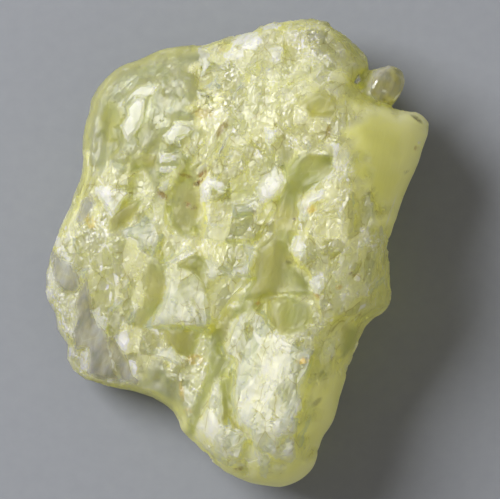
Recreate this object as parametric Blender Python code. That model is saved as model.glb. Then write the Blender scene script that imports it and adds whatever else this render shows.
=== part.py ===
"""Heliodor crystal: one broken piece of rough beryl, yellow-green and clear.

A thick wedge of crystal lies on its flattest side. Its broken upper side climbs from a thin
clear shelf at the left (-X) to a ridge near the right, in plates and ledges. A smooth flank
drops from the ridge to the right edge, a smooth rim goes round the lower lobe (-Y), and a
small rounded crystal has grown on the edge at the upper right.

Lists of places and heights are in millimetres, as the stone is seen from straight above with
+X to the right and +Y up. The finished solid is in metres, +Z up, standing on Z = 0.
"""
import math

import bmesh
import bpy
import numpy as np
from mathutils import Matrix, Vector, kdtree

MM = 0.001

# Driving sizes of the whole stone, in metres
LENGTH = 0.0402
WIDTH = 0.0331
HEIGHT = 0.0162

# Mesh sizes
SPHERE_LEVEL = 8
BODY_TRIANGLES = 8300
NUB_LEVEL = 4
SEED = 20

# Point from which every stretch of the edge is seen, in millimetres
MIDDLE = (-4.0, 4.0)

# Underside: how far below the resting plane the base is shaped before it is cut flat
BASE_DEPTH = 0.25
BASE_CENTRE = (0.6, -0.8)
BASE_HALF = (8.6, 10.2)
BASE_RISE = 3.1
# Least and greatest share of the rise, from the middle of the base to the edge
BASE_RANGE = (-0.2, 2.0)
CUTTER_SIZE = 60.0

# Points nearer than this are one point, in millimetres
MERGE = 0.004

# Broken cells between the plates, in millimetres and slopes: each is a shallow scoop
CELL_TOP = 1.7
CELL_FINE = 0.85
CELL_UNDER = 2.6
CELL_SPREAD = (0.75, 1.7)
CELL_STRETCH = 1.5
CELL_GRAIN = math.radians(72.0)
CELL_TILT = 0.10
CELL_FINE_TILT = 0.22
CELL_LIFT = (0.0, 0.16)
CELL_HOLLOW = 0.035
CELL_LIMIT = 0.40
CELL_PLANES = 9
CELL_TRIES = 16000
# Distance put between the two sides of the stone, so that neither breaks the other
CELL_APART = 20.0
# Least cosine between the surface and a break, so that no point is thrown far
CELL_LEAN = 0.35

# Width of the change from broken to smooth ground, and of the fade towards the edge
CALM_WIDTH = 0.8
EDGE_FADE = 1.3
# Plates fade out over this stretch of the upper rim, as shares of its width
PLATE_HOLD = (0.4, 0.9)
# Width of the step at the border of a plate, in millimetres
PLATE_STEP = 0.28
# Share of the listed lifts, and how far at most a plate leaves the ground it lies on
PLATE_RISE = 0.6
PLATE_REACH = 0.45

# Small crystal grown on the edge, in millimetres
NUB_AT = (12.0, 13.95, 8.0)
NUB_HALF = (2.8, 1.95, 1.9)
NUB_TURN = math.radians(38.0)
NUB_PITCH = math.radians(-6.0)
NUB_PRESS = 0.85
# Its flats: direction, and distance from the middle as a share of the half size
NUB_FLATS = [
    ((1.0, 0.15, 0.25), 0.88), ((0.75, -0.65, 0.30), 0.86), ((0.10, -1.0, 0.35), 0.84),
    ((0.35, 0.95, 0.20), 0.84), ((-0.15, 0.75, 0.85), 0.85), ((0.20, -0.35, 1.0), 0.86),
    ((0.85, 0.10, 0.80), 0.88), ((0.60, 0.70, -0.50), 0.86), ((0.60, -0.60, -0.70), 0.86),
]

# Edge of the stone as seen from above, clockwise from the top
OUTLINE = [
    (1.1, 19.2), (2.3, 19.7), (3.1, 20.1), (3.9, 19.8), (5.6, 20.1), (7.3, 20.1), (8.7, 19.1),
    (10.0, 17.8), (11.2, 16.8), (11.45, 16.0), (10.7, 14.8), (11.3, 13.4), (12.9, 12.45),
    (14.7, 12.3), (15.5, 12.1), (16.4, 11.3), (16.45, 10.4), (15.8, 8.9), (15.6, 7.8),
    (14.7, 6.0), (14.0, 4.2), (13.3, 2.0), (13.0, 0.4), (13.2, -1.5), (13.2, -3.1),
    (13.0, -4.8), (11.4, -6.0), (10.7, -7.3), (9.6, -9.8), (9.0, -11.6), (8.2, -14.6),
    (7.2, -15.8), (7.0, -16.9), (6.6, -18.4), (5.4, -19.5), (3.8, -20.1), (1.1, -19.7),
    (-1.2, -18.7), (-2.7, -17.3), (-4.0, -16.0), (-5.0, -15.1), (-5.2, -14.0), (-6.0, -13.2),
    (-7.4, -12.4), (-8.7, -12.0), (-11.4, -11.4), (-13.2, -10.9), (-14.2, -10.1),
    (-14.8, -9.1), (-14.7, -7.9), (-15.6, -6.6), (-15.8, -5.2), (-16.6, -3.9), (-16.7, -1.8),
    (-16.2, -0.1), (-15.6, 1.9), (-14.6, 3.8), (-13.7, 6.0), (-13.3, 7.4), (-13.5, 9.1),
    (-13.3, 10.8), (-12.9, 12.1), (-12.7, 13.5), (-11.6, 15.0), (-10.2, 16.2), (-8.6, 16.6),
    (-6.6, 17.6), (-3.1, 18.1), (-2.2, 18.3), (-0.3, 18.8),
]

# Broad heights of the upper side: x, y, z
TOP_SPOTS = [
    (3.0, 19.2, 9.4), (8.0, 18.6, 10.4), (-3.0, 17.0, 7.8), (-8.0, 15.6, 6.8), (0.5, 16.8, 9.3),
    (5.0, 16.0, 11.6), (10.6, 15.8, 10.8), (-12.3, 12.3, 6.0), (-12.6, 7.0, 6.4),
    (-15.0, 2.0, 5.8), (-16.0, -2.5, 5.4), (-14.5, -7.0, 5.3), (-12.0, -9.6, 5.4),
    (-9.0, -11.0, 5.9), (-9.0, 11.5, 7.8), (-9.0, 6.0, 8.2), (-9.5, 1.0, 8.2),
    (-10.0, -4.0, 7.2), (-8.5, -8.0, 7.2), (-5.0, 13.5, 9.0), (-5.5, 8.5, 9.6),
    (-5.0, 3.0, 9.6), (-6.8, -1.5, 8.8), (-5.6, -9.0, 8.9), (-5.5, -12.0, 8.8),
    (-0.5, 10.0, 11.3), (-1.0, 5.0, 11.3), (0.0, 1.0, 11.2), (-3.5, -3.0, 10.3),
    (-1.8, -7.0, 10.1), (-2.2, -10.0, 10.0), (3.0, 12.5, 12.6), (3.5, 9.5, 12.9),
    (3.5, 5.0, 12.3), (3.0, -1.5, 11.8), (3.0, -5.0, 12.0), (-1.5, -14.5, 11.3),
    (-0.6, -16.8, 11.4), (2.5, -10.0, 12.5), (2.8, -15.0, 13.0), (5.3, -8.5, 13.3),
    (5.0, -14.0, 13.4), (4.0, -17.6, 12.4), (8.0, 13.0, 13.9), (10.0, 11.2, 14.3),
    (8.8, 8.0, 14.6), (9.0, 4.0, 14.8), (8.5, 0.0, 14.4), (8.0, -4.0, 13.8),
    (7.3, -9.0, 12.8), (6.9, -13.0, 12.0), (6.5, -16.0, 11.2), (12.3, 11.8, 12.4),
    (12.7, 8.5, 12.5), (14.8, 9.0, 10.9), (15.6, 11.0, 10.4), (12.8, 4.5, 12.1),
    (13.9, 6.0, 11.1), (12.0, 1.0, 12.8), (12.2, -2.5, 12.0), (10.0, -6.0, 12.0),
    (8.9, -9.5, 10.9),
]

# Round the edge: x, y, height of the edge line, width of the upper rim, width of the lower rim
RIM_SPOTS = [
    (5.0, 20.0, 5.6, 1.5, 3.0), (-5.0, 17.8, 4.4, 1.5, 3.4), (-13.0, 10.0, 3.4, 1.4, 3.6),
    (-16.4, -1.0, 3.0, 0.9, 2.8), (-14.2, -10.0, 2.7, 0.8, 2.4), (-9.0, -11.9, 2.8, 0.8, 2.4),
    (-5.2, -14.0, 3.8, 1.3, 2.4), (-3.2, -16.8, 4.8, 1.8, 2.8), (2.0, -20.0, 5.2, 2.4, 3.0),
    (6.8, -17.5, 5.2, 2.4, 3.0), (8.6, -13.0, 5.4, 2.3, 3.0), (11.0, -7.0, 5.8, 1.6, 3.0),
    (13.2, -3.0, 6.2, 1.3, 3.4), (13.0, 1.0, 5.8, 1.0, 3.4), (14.5, 6.0, 5.8, 1.4, 3.2),
    (16.4, 11.0, 6.2, 1.2, 3.0), (14.0, 12.3, 6.2, 1.0, 2.8), (11.3, 16.0, 5.6, 1.5, 2.6),
    (9.0, 18.6, 5.8, 1.6, 3.0),
]

# Raised masses and sunk ground that meet in ledges: lift, width of the ledge, outline
MASSES = [
    (1.0, 0.5, [(8.1, 9.4), (8.1, 7.1), (7.4, 6.3), (6.2, 5.3), (5.2, 4.6), (5.1, 3.1),
                (4.6, 1.9), (4.9, 1.2), (4.4, 0.3), (4.6, -0.7), (6.0, -2.0), (6.4, -3.6),
                (7.0, -6.0), (9.4, -5.4), (11.4, -4.2), (12.4, -2.0), (12.3, 2.5),
                (11.4, 5.8), (10.2, 6.9), (9.6, 9.0)]),
    (0.75, 0.4, [(-0.7, -5.6), (1.3, -4.6), (2.4, -5.3), (3.3, -6.8), (4.6, -7.4),
                 (6.1, -8.3), (6.2, -9.4), (5.5, -10.6), (5.3, -12.6), (5.2, -15.0),
                 (5.3, -16.3), (4.7, -17.3), (2.6, -17.0), (0.9, -15.9), (0.0, -14.1),
                 (-0.5, -12.4), (-0.4, -10.8), (-0.2, -9.4), (-1.4, -7.8)]),
    (0.55, 0.35, [(-2.0, -10.8), (-1.5, -11.4), (-1.4, -14.2), (0.1, -14.8), (0.7, -15.6),
                  (0.3, -17.4), (-1.8, -17.3), (-3.4, -15.8), (-3.2, -14.4), (-2.6, -12.6)]),
    (0.65, 0.4, [(-6.4, -0.7), (-4.2, 0.5), (-2.6, -0.2), (1.3, -0.6), (1.2, -2.2),
                 (-0.6, -4.2), (-2.0, -6.4), (-4.6, -6.2), (-7.6, -6.2), (-6.0, -3.6),
                 (-5.9, -2.0)]),
    (0.6, 0.5, [(-3.3, 6.0), (-3.0, 3.6), (-3.0, 1.2), (-1.6, 0.8), (1.4, 0.9), (3.0, 3.4),
                (3.7, 5.6), (3.6, 7.4), (1.4, 9.2), (-0.4, 11.0), (-2.1, 8.4)]),
    (-0.7, 0.5, [(-5.3, 6.0), (-4.3, 7.0), (-3.5, 5.9), (-3.2, 3.4), (-3.4, 1.7),
                 (-5.6, 1.8), (-6.1, 3.0), (-5.8, 5.0)]),
    (-0.6, 0.5, [(-2.4, -6.8), (-1.2, -5.4), (0.6, -4.4), (0.0, -5.4), (-0.9, -7.2),
                 (-1.2, -9.2), (-2.0, -10.6), (-3.4, -13.8), (-3.9, -15.0), (-3.9, -13.6),
                 (-2.9, -11.0), (-2.3, -9.0)]),
    (-0.6, 0.5, [(-1.3, -10.4), (-0.7, -10.3), (-0.6, -12.4), (0.1, -14.4), (-0.9, -14.5)]),
    (0.5, 0.5, [(-12.3, 5.8), (-11.2, 8.1), (-10.0, 9.4), (-9.9, 11.6), (-8.9, 14.4),
                (-6.8, 14.4), (-7.7, 12.6), (-8.6, 10.2), (-8.4, 8.8), (-9.6, 7.4),
                (-9.0, 5.0), (-10.8, 3.0)]),
    (0.45, 0.4, [(-1.9, 17.9), (-0.2, 19.0), (1.9, 19.2), (3.9, 19.6), (4.0, 17.0),
                 (3.0, 15.5), (2.2, 16.6), (0.6, 15.4), (-1.2, 16.2)]),
]

# Flat plates of the broken upper side: slope along x, slope along y, lift, outline
PLATES = [
    # Upper left
    (0.33, -0.16, 0.12, [(-9.55, 12.4), (-8.7, 13.3), (-7.9, 13.3), (-7.9, 11.8), (-8.35, 10.6),
                         (-8.95, 10.07), (-9.4, 9.4), (-9.7, 10.1), (-10.15, 10.9),
                         (-9.4, 11.8)]),
    (0.28, -0.10, 0.16, [(-10.06, 12.6), (-9.55, 13.5), (-8.5, 14.4), (-7.5, 14.6),
                         (-6.8, 14.2), (-7.15, 13.5), (-7.75, 13.4), (-8.7, 13.3),
                         (-9.5, 12.5)]),
    (0.20, 0.04, 0.05, [(-10.2, 9.05), (-10.9, 8.2), (-10.2, 7.5), (-9.4, 7.2), (-8.95, 8.45),
                        (-9.2, 9.3)]),
    (0.02, 0.12, -0.25, [(-8.9, 8.5), (-6.8, 8.5), (-7.0, 7.3), (-8.35, 7.3), (-9.1, 6.9)]),
    (0.34, -0.18, 0.18, [(-12.3, 5.6), (-11.35, 5.8), (-10.7, 5.4), (-9.55, 5.6), (-9.03, 5.1),
                         (-9.55, 4.6), (-10.06, 3.75), (-10.75, 3.0), (-11.26, 3.75),
                         (-11.8, 4.6)]),
    (0.24, -0.06, 0.05, [(-11.3, 7.0), (-9.4, 7.1), (-8.9, 6.3), (-9.1, 5.5), (-10.7, 5.5),
                         (-11.4, 5.9)]),
    (0.10, 0.16, -0.25, [(-11.0, 2.9), (-10.2, 3.7), (-9.2, 4.4), (-8.0, 5.2), (-7.3, 5.8),
                         (-7.2, 5.0), (-7.9, 3.8), (-8.3, 3.0), (-9.2, 2.2), (-10.5, 2.0)]),
    (0.28, -0.12, 0.18, [(-6.3, 10.07), (-5.6, 10.76), (-5.27, 11.3), (-4.07, 10.95),
                         (-3.6, 10.5), (-4.07, 9.9), (-5.1, 9.7), (-4.67, 9.0), (-6.1, 9.4)]),
    (0.34, -0.16, 0.18, [(-6.6, 8.5), (-5.1, 8.4), (-5.2, 7.85), (-6.6, 7.67)]),
    (0.33, -0.20, 0.08, [(-6.6, 7.35), (-5.1, 7.35), (-5.8, 6.8), (-6.6, 6.85)]),
    (0.35, -0.15, 0.02, [(-6.8, 5.6), (-5.8, 6.3), (-5.8, 5.45), (-6.7, 5.1)]),
    (0.36, -0.16, 0.12, [(-5.6, 14.6), (-4.9, 15.2), (-5.0, 14.7), (-5.4, 14.3)]),
    (0.33, -0.18, 0.15, [(-3.4, 17.65), (-2.5, 17.65), (-2.3, 16.1), (-2.87, 15.2),
                         (-3.35, 14.9), (-3.2, 16.6)]),
    (0.35, -0.20, 0.15, [(-3.0, 14.2), (-2.1, 14.6), (-1.75, 15.3), (-1.45, 14.1),
                         (-2.36, 13.9)]),
    (0.32, -0.16, 0.12, [(-3.4, 13.8), (-2.0, 13.4), (-2.1, 12.95), (-3.3, 13.2)]),
    (0.36, -0.18, 0.18, [(-0.6, 13.6), (0.69, 14.9), (0.58, 14.2), (-0.17, 13.4),
                         (-0.28, 12.7)]),
    (0.30, -0.14, 0.14, [(-4.15, 8.8), (-3.56, 9.2), (-3.3, 8.4), (-3.9, 8.2)]),
    # Middle
    (0.30, -0.12, 0.10, [(-0.6, 10.4), (-0.9, 9.3), (-1.2, 8.5), (-0.5, 8.2), (-0.6, 7.8),
                         (-2.2, 7.8), (-1.7, 8.7), (-1.2, 9.8)]),
    (0.34, -0.19, 0.14, [(-3.2, 5.6), (-2.6, 6.5), (-1.84, 6.6), (-1.0, 5.9), (-0.6, 5.5),
                         (-1.3, 5.2), (-2.0, 5.5), (-2.4, 4.4), (-3.04, 4.3)]),
    (0.35, -0.17, 0.22, [(1.6, 5.5), (2.1, 6.5), (3.2, 7.4), (3.9, 6.6), (4.2, 5.9),
                         (3.4, 4.6), (2.3, 4.2), (1.7, 4.8)]),
    (0.32, -0.21, 0.15, [(-0.5, 4.2), (0.4, 4.3), (1.6, 4.9), (2.2, 4.1), (1.9, 3.3),
                         (1.5, 2.6), (1.1, 3.2), (-0.3, 3.1)]),
    (0.12, 0.12, -0.10, [(-3.0, 3.6), (-1.5, 3.5), (-1.2, 2.6), (-2.9, 2.2)]),
    (0.33, -0.16, 0.15, [(-9.96, 2.0), (-8.4, 2.5), (-7.9, 3.2), (-6.87, 2.7), (-6.36, 1.5),
                         (-6.5, 0.5), (-7.2, -0.3), (-7.7, 0.3), (-8.6, 0.3), (-8.5, 1.3),
                         (-9.8, 1.5)]),
    (0.35, -0.18, 0.18, [(2.3, 10.6), (3.36, 10.5), (3.36, 9.5), (2.7, 9.0), (2.3, 9.5)]),
    (0.05, 0.10, -0.30, [(4.8, 7.9), (6.0, 8.4), (8.0, 8.1), (8.0, 7.2), (7.2, 6.3),
                         (5.5, 5.6), (4.0, 5.9), (3.9, 7.0)]),
    (0.08, 0.02, -0.30, [(3.7, 5.8), (5.2, 5.4), (5.1, 4.0), (5.0, 2.8), (4.4, 2.0),
                         (3.1, 2.8), (3.5, 4.6)]),
    (0.36, -0.18, 0.12, [(-0.5, -1.3), (0.4, -0.8), (1.0, -0.2), (0.4, 0.4), (0.6, 1.0),
                         (1.4, 0.6), (1.3, -0.6), (1.2, -2.1), (0.2, -2.1), (-0.3, -1.7)]),
    (0.04, 0.06, -0.30, [(1.7, 0.6), (2.6, 1.0), (4.2, 0.8), (4.4, -0.6), (5.2, -1.6),
                         (6.0, -2.4), (6.1, -3.4), (4.2, -3.3), (2.6, -3.6), (1.4, -4.1),
                         (0.4, -3.6), (1.4, -2.4)]),
    (-0.02, -0.06, -0.20, [(2.6, -3.8), (4.2, -3.5), (5.9, -4.4), (6.2, -5.4), (5.6, -6.4),
                           (4.3, -7.0), (3.3, -6.6), (2.6, -5.4)]),
    # Frosted plate at the left of the middle, its neighbours and the dark wedge behind it
    (0.34, -0.17, 0.14, [(-6.05, -1.5), (-5.1, -1.15), (-3.7, -1.6), (-3.0, -2.6),
                         (-2.55, -4.1), (-2.2, -5.5), (-2.4, -6.5), (-2.9, -6.8),
                         (-4.1, -6.45), (-6.5, -6.5), (-8.15, -6.4), (-7.2, -5.25),
                         (-6.36, -4.1), (-6.0, -2.8)]),
    (0.30, -0.24, 0.16, [(-6.45, -0.6), (-5.4, 0.0), (-4.1, 0.62), (-3.4, 0.2), (-4.4, -0.38),
                         (-5.8, -1.25)]),
    (0.10, 0.05, -0.22, [(-4.4, -0.45), (-3.3, 0.1), (-2.75, -0.6), (-2.5, -2.6), (-2.5, -3.8),
                         (-2.9, -2.6), (-3.6, -1.55), (-5.0, -1.1)]),
    (0.33, -0.14, 0.12, [(-2.7, -0.4), (-1.6, -0.9), (-0.5, -1.3), (-0.3, -1.7), (0.2, -2.1),
                         (-1.0, -2.1), (-2.3, -2.4), (-2.4, -1.4)]),
    (0.02, 0.18, -0.25, [(-6.0, -6.5), (-4.5, -6.4), (-3.3, -6.7), (-3.6, -8.1), (-3.96, -8.8),
                         (-5.2, -8.5), (-5.84, -7.56)]),
    (0.34, -0.12, 0.10, [(-8.2, -7.3), (-7.6, -8.4), (-6.9, -8.2), (-5.6, -7.9), (-5.2, -8.6),
                         (-4.2, -8.9), (-4.8, -9.6), (-6.5, -9.0), (-7.8, -8.7)]),
    (0.26, -0.04, 0.00, [(-7.9, -8.9), (-6.5, -9.1), (-4.8, -9.7), (-3.3, -8.5), (-2.3, -9.4),
                         (-2.7, -10.7), (-5.0, -10.4), (-6.5, -10.5), (-8.2, -11.4)]),
    (0.12, 0.10, -0.10, [(-8.4, -11.7), (-6.5, -10.6), (-5.16, -10.5), (-4.8, -11.4),
                         (-4.9, -12.6), (-6.0, -12.7), (-7.4, -12.1)]),
    # Lower lobe: the right plate with its facets, then the left plate
    (0.34, -0.16, 0.12, [(-0.7, -6.4), (-0.3, -5.5), (0.38, -5.3), (0.9, -5.0), (0.85, -6.2),
                         (0.9, -7.1), (1.05, -6.0), (1.15, -5.0), (1.35, -4.6), (2.35, -5.0),
                         (2.7, -5.9), (3.55, -6.8), (4.4, -7.25), (5.1, -7.7), (6.4, -8.1),
                         (6.4, -8.8), (6.2, -9.65), (5.78, -10.5), (5.1, -11.2),
                         (5.35, -12.1), (5.4, -13.2), (4.75, -13.4), (5.1, -14.1),
                         (5.1, -15.0), (5.0, -17.3), (3.04, -17.4), (1.41, -16.84),
                         (1.07, -15.1), (0.13, -14.3), (-0.4, -13.2), (-0.52, -11.7),
                         (-0.4, -10.3), (-0.64, -9.7), (-0.3, -9.1), (-1.2, -8.6),
                         (-1.5, -7.9), (-1.0, -7.5)]),
    (0.29, -0.10, 0.02, [(-0.1, -8.8), (1.2, -9.1), (2.2, -9.8), (2.5, -10.6), (1.6, -11.0),
                         (0.5, -10.7), (-0.3, -10.0)]),
    (0.36, -0.21, 0.08, [(0.1, -13.1), (2.2, -12.3), (3.6, -12.9), (4.6, -13.6), (4.9, -15.2),
                         (3.4, -15.0), (1.6, -16.4), (1.1, -15.1), (0.2, -14.2)]),
    (0.31, -0.22, 0.06, [(3.2, -15.2), (4.8, -15.4), (4.9, -17.2), (3.2, -17.2)]),
    (0.33, -0.16, 0.06, [(1.75, -16.6), (2.87, -16.9), (2.7, -18.6), (2.0, -18.6)]),
    (0.30, -0.20, 0.10, [(6.25, -13.7), (6.0, -14.6), (5.6, -15.2), (5.6, -16.3),
                         (5.15, -16.6), (5.25, -15.2), (5.7, -14.4)]),
    (0.33, -0.17, 0.10, [(-1.93, -10.85), (-1.5, -11.1), (-1.33, -12.7), (-1.24, -14.35),
                         (-0.8, -14.5), (-0.73, -13.9), (-0.39, -14.8), (0.47, -14.87),
                         (0.8, -15.5), (0.38, -17.36), (-0.56, -18.0), (-1.59, -17.7),
                         (-2.78, -16.67), (-3.64, -15.64), (-3.47, -14.8), (-2.96, -13.4),
                         (-2.44, -12.05)]),
    (0.27, -0.20, 0.04, [(-1.9, -15.3), (-0.4, -15.0), (0.4, -15.0), (0.5, -16.2),
                         (-0.8, -16.7), (-1.8, -16.3)]),
    # Right mass
    (0.34, -0.18, 0.20, [(5.1, 4.07), (5.46, 4.76), (6.14, 5.2), (7.3, 5.3), (7.5, 4.76),
                         (6.3, 4.07), (6.14, 3.4), (5.6, 2.7), (5.1, 2.9)]),
    (0.34, -0.16, 0.14, [(7.85, 9.2), (8.4, 9.4), (8.6, 8.7), (8.2, 8.0), (7.9, 8.3)]),
    (0.28, -0.14, 0.10, [(4.4, 0.3), (4.77, 1.5), (5.3, 1.4), (5.8, 0.5), (5.4, -0.2),
                         (4.6, -0.1)]),
    (0.04, 0.12, -0.12, [(5.9, 0.5), (6.9, -0.4), (6.2, -1.3), (5.2, -1.3), (4.7, -0.3),
                         (5.4, -0.2)]),
    (0.34, -0.16, 0.30, [(6.05, -2.4), (6.5, -1.8), (7.2, -1.9), (7.4, -2.9), (6.8, -3.6),
                         (6.2, -2.9)]),
    (0.22, -0.10, 0.08, [(7.5, 4.7), (9.5, 5.7), (9.9, 4.4), (9.0, 3.4), (7.4, 3.2),
                         (6.4, 3.4)]),
    (0.20, -0.08, 0.00, [(5.4, 1.9), (6.4, 3.2), (8.6, 3.1), (9.0, 1.2), (7.4, 0.2),
                         (6.9, 0.0), (5.9, 1.0)]),
    (0.36, -0.20, 0.22, [(10.25, 0.8), (11.1, 1.5), (11.2, 1.0), (10.4, 0.3)]),
    (0.10, -0.06, 0.00, [(9.9, 4.4), (11.4, 5.2), (12.0, 2.4), (11.0, 1.6), (9.9, 1.8)]),
    (0.33, -0.18, 0.25, [(11.8, -2.4), (12.5, -1.75), (12.5, -2.2), (11.3, -3.3),
                         (11.1, -3.1)]),
    (0.16, -0.02, -0.05, [(7.6, 0.0), (9.8, 0.2), (10.2, -1.6), (8.6, -2.8), (7.6, -1.8)]),
    (-0.10, -0.20, 0.05, [(9.0, -3.9), (11.0, -3.6), (12.2, -4.4), (11.0, -5.6),
                          (9.2, -5.8)]),
    (-0.30, 0.06, -0.10, [(8.9, -6.2), (10.2, -6.6), (10.0, -8.0), (9.0, -8.6)]),
    (-0.34, -0.10, 0.00, [(7.5, -6.3), (8.7, -6.3), (8.8, -9.2), (7.8, -9.4)]),
    # Head of the stone
    (0.34, -0.18, 0.18, [(-0.6, 17.4), (-0.39, 18.5), (0.47, 19.0), (1.65, 18.9), (2.1, 18.1),
                         (1.65, 17.2), (0.47, 17.4), (0.58, 16.6), (-0.5, 16.4),
                         (-1.4, 16.8)]),
    (0.30, -0.22, 0.10, [(2.0, 19.3), (3.25, 19.8), (3.8, 19.4), (3.3, 19.1), (2.2, 19.0)]),
    (0.35, -0.18, 0.18, [(2.3, 17.2), (4.0, 17.6), (4.0, 16.1), (3.25, 15.8), (2.7, 16.4)]),
    (0.34, -0.20, 0.12, [(2.3, 15.8), (2.95, 15.9), (2.8, 15.3), (2.3, 15.4)]),
    (0.22, -0.10, 0.15, [(9.1, 17.1), (10.6, 16.8), (11.1, 16.2), (10.4, 14.9), (9.4, 15.4)]),
    (0.18, 0.02, 0.00, [(5.2, 17.2), (7.0, 17.8), (8.4, 16.6), (7.6, 15.2), (5.4, 15.4)]),
    (0.05, 0.08, -0.12, [(0.8, 15.9), (2.2, 15.0), (2.4, 13.6), (1.4, 12.8), (0.6, 13.6)]),
    (0.08, 0.10, -0.18, [(5.3, 12.6), (7.0, 13.7), (8.4, 12.9), (8.2, 11.5), (6.2, 11.3)]),
    # Clear shelf at the left
    (0.10, 0.04, -0.10, [(-13.3, 4.6), (-12.5, 5.0), (-12.2, 4.2), (-12.9, 2.9),
                         (-13.4, 2.3), (-13.8, 2.8)]),
    (0.14, -0.02, -0.08, [(-15.9, 0.4), (-15.1, -0.54), (-14.2, -0.9), (-13.6, -2.0),
                          (-13.5, -2.8), (-13.9, -3.4), (-15.0, -3.2), (-15.8, -2.2),
                          (-16.0, -0.5)]),
    (0.18, 0.02, -0.10, [(-13.4, -2.9), (-12.95, -2.0), (-12.5, -4.65), (-12.35, -5.5),
                         (-11.5, -6.5), (-11.1, -7.2), (-10.8, -9.1), (-10.1, -10.8),
                         (-11.8, -10.7), (-12.9, -10.3), (-12.8, -8.2), (-13.9, -8.1),
                         (-14.1, -7.0), (-13.7, -5.7), (-13.9, -4.3)]),
    (0.24, 0.04, -0.02, [(-11.1, -7.2), (-10.6, -7.1), (-9.96, -8.24), (-9.4, -9.1),
                         (-9.0, -10.5), (-8.5, -10.9), (-8.6, -11.2), (-10.1, -10.8),
                         (-10.8, -9.1)]),
    (0.34, -0.16, 0.16, [(-15.8, 1.7), (-15.26, 1.3), (-14.9, 0.5), (-14.2, -0.54),
                         (-14.5, -0.7), (-15.3, 0.0), (-15.8, 0.8)]),
    (0.36, -0.20, 0.16, [(-14.2, 1.6), (-13.8, 0.9), (-13.5, -0.1), (-13.8, 0.06),
                         (-14.15, 0.9)]),
    (0.35, -0.18, 0.18, [(-13.8, -1.4), (-12.8, -1.3), (-13.2, -2.25), (-13.5, -1.9)]),
    (0.34, -0.18, 0.18, [(-12.6, -4.9), (-11.8, -4.65), (-11.7, -5.25), (-11.07, -5.5),
                         (-11.15, -6.36), (-11.6, -6.6), (-12.0, -6.1)]),
    (0.34, -0.20, 0.15, [(-11.1, -4.75), (-9.96, -3.85), (-9.7, -4.0), (-9.8, -4.5),
                         (-11.0, -5.05)]),
    (0.36, -0.16, 0.15, [(-10.1, -2.3), (-9.3, -2.1), (-9.0, -2.6), (-9.7, -3.3)]),
    (0.33, -0.16, 0.20, [(-8.76, -4.3), (-8.5, -4.3), (-8.67, -5.5), (-9.1, -6.3),
                         (-9.44, -5.95)]),
    (0.35, -0.20, 0.15, [(-10.55, -7.04), (-9.44, -6.5), (-9.27, -7.4), (-9.5, -8.3),
                         (-9.96, -8.2)]),
    (0.34, -0.17, 0.14, [(-9.36, -9.1), (-8.67, -9.27), (-8.6, -10.5), (-8.9, -10.6),
                         (-9.2, -9.9)]),
    (0.33, -0.18, 0.12, [(-14.66, -8.1), (-14.07, -8.0), (-13.55, -9.0), (-14.6, -8.9)]),
    (0.35, -0.16, 0.12, [(-13.47, -8.6), (-12.8, -8.1), (-12.8, -8.7), (-13.1, -9.0),
                         (-12.95, -9.95), (-13.5, -10.0)]),
]

# Ground where the surface stays smooth and rounded: outline
SMOOTH = [
    # Right flank
    [(9.9, 12.2), (12.9, 12.5), (15.5, 12.2), (17.0, 11.0), (16.6, 8.0), (14.0, 1.6),
     (12.4, 2.2), (11.9, 4.5), (11.3, 6.0), (10.3, 6.8), (9.9, 9.0)],
    # Rim of the lower lobe
    [(9.0, -9.6), (7.4, -10.0), (6.4, -12.0), (6.1, -14.6), (5.9, -17.0), (4.6, -17.8),
     (1.6, -18.6), (-1.6, -18.2), (-3.8, -16.2), (-4.3, -14.2), (-6.0, -14.4),
     (-4.0, -18.4), (3.0, -21.5), (8.0, -19.5), (10.0, -12.0)],
    # Upper left shoulder and its left edge
    [(-13.0, 12.6), (-10.4, 13.4), (-8.2, 15.2), (-5.8, 14.9), (-3.8, 14.2), (-3.6, 17.4),
     (-3.6, 18.8), (-12.0, 17.4)],
    [(-12.4, 12.4), (-11.9, 11.0), (-12.3, 9.0), (-12.2, 6.6), (-13.0, 5.4), (-14.6, 5.0),
     (-14.4, 13.0)],
    [(-7.4, 13.2), (-4.2, 13.9), (-3.4, 12.4), (-3.8, 11.6), (-6.0, 11.6), (-7.6, 10.6)],
    # Sunk olive bands between the masses
    [(0.64, -3.8), (1.84, -4.2), (0.64, -5.0), (-0.4, -5.4), (-0.8, -6.4), (-1.1, -7.4),
     (-1.6, -7.9), (-1.3, -8.6), (-0.8, -9.1), (-1.2, -10.2), (-1.9, -10.7), (-2.4, -11.9),
     (-3.0, -13.2), (-3.5, -14.8), (-3.8, -15.8), (-4.5, -15.5), (-4.1, -14.1), (-3.5, -12.7),
     (-2.8, -11.4), (-2.3, -10.2), (-2.4, -8.8), (-2.4, -7.6), (-1.9, -6.4), (-0.7, -5.2)],
    [(-1.5, -10.9), (-0.5, -10.5), (-0.5, -12.0), (-0.4, -13.3), (0.1, -14.3), (-0.4, -14.8),
     (-0.8, -14.0), (-1.2, -14.4), (-1.3, -12.7)],
    [(4.8, 8.0), (6.0, 8.5), (8.0, 8.2), (7.9, 7.0), (6.6, 5.8), (5.3, 4.9), (5.0, 3.4),
     (4.5, 1.6), (4.5, 0.2), (4.6, -1.0), (6.0, -2.4), (6.0, -3.4), (4.2, -3.4), (2.6, -3.6),
     (1.0, -4.0), (0.2, -4.0), (1.6, -2.2), (1.8, 0.4), (3.2, 1.6), (3.2, 3.0), (3.7, 4.6),
     (4.2, 6.0), (4.0, 7.2)],
    [(-5.3, 6.0), (-4.9, 8.2), (-4.3, 8.0), (-3.7, 6.4), (-3.3, 4.6), (-3.3, 2.2), (-4.4, 1.4),
     (-5.6, 2.4), (-5.6, 4.2)],
]

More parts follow.
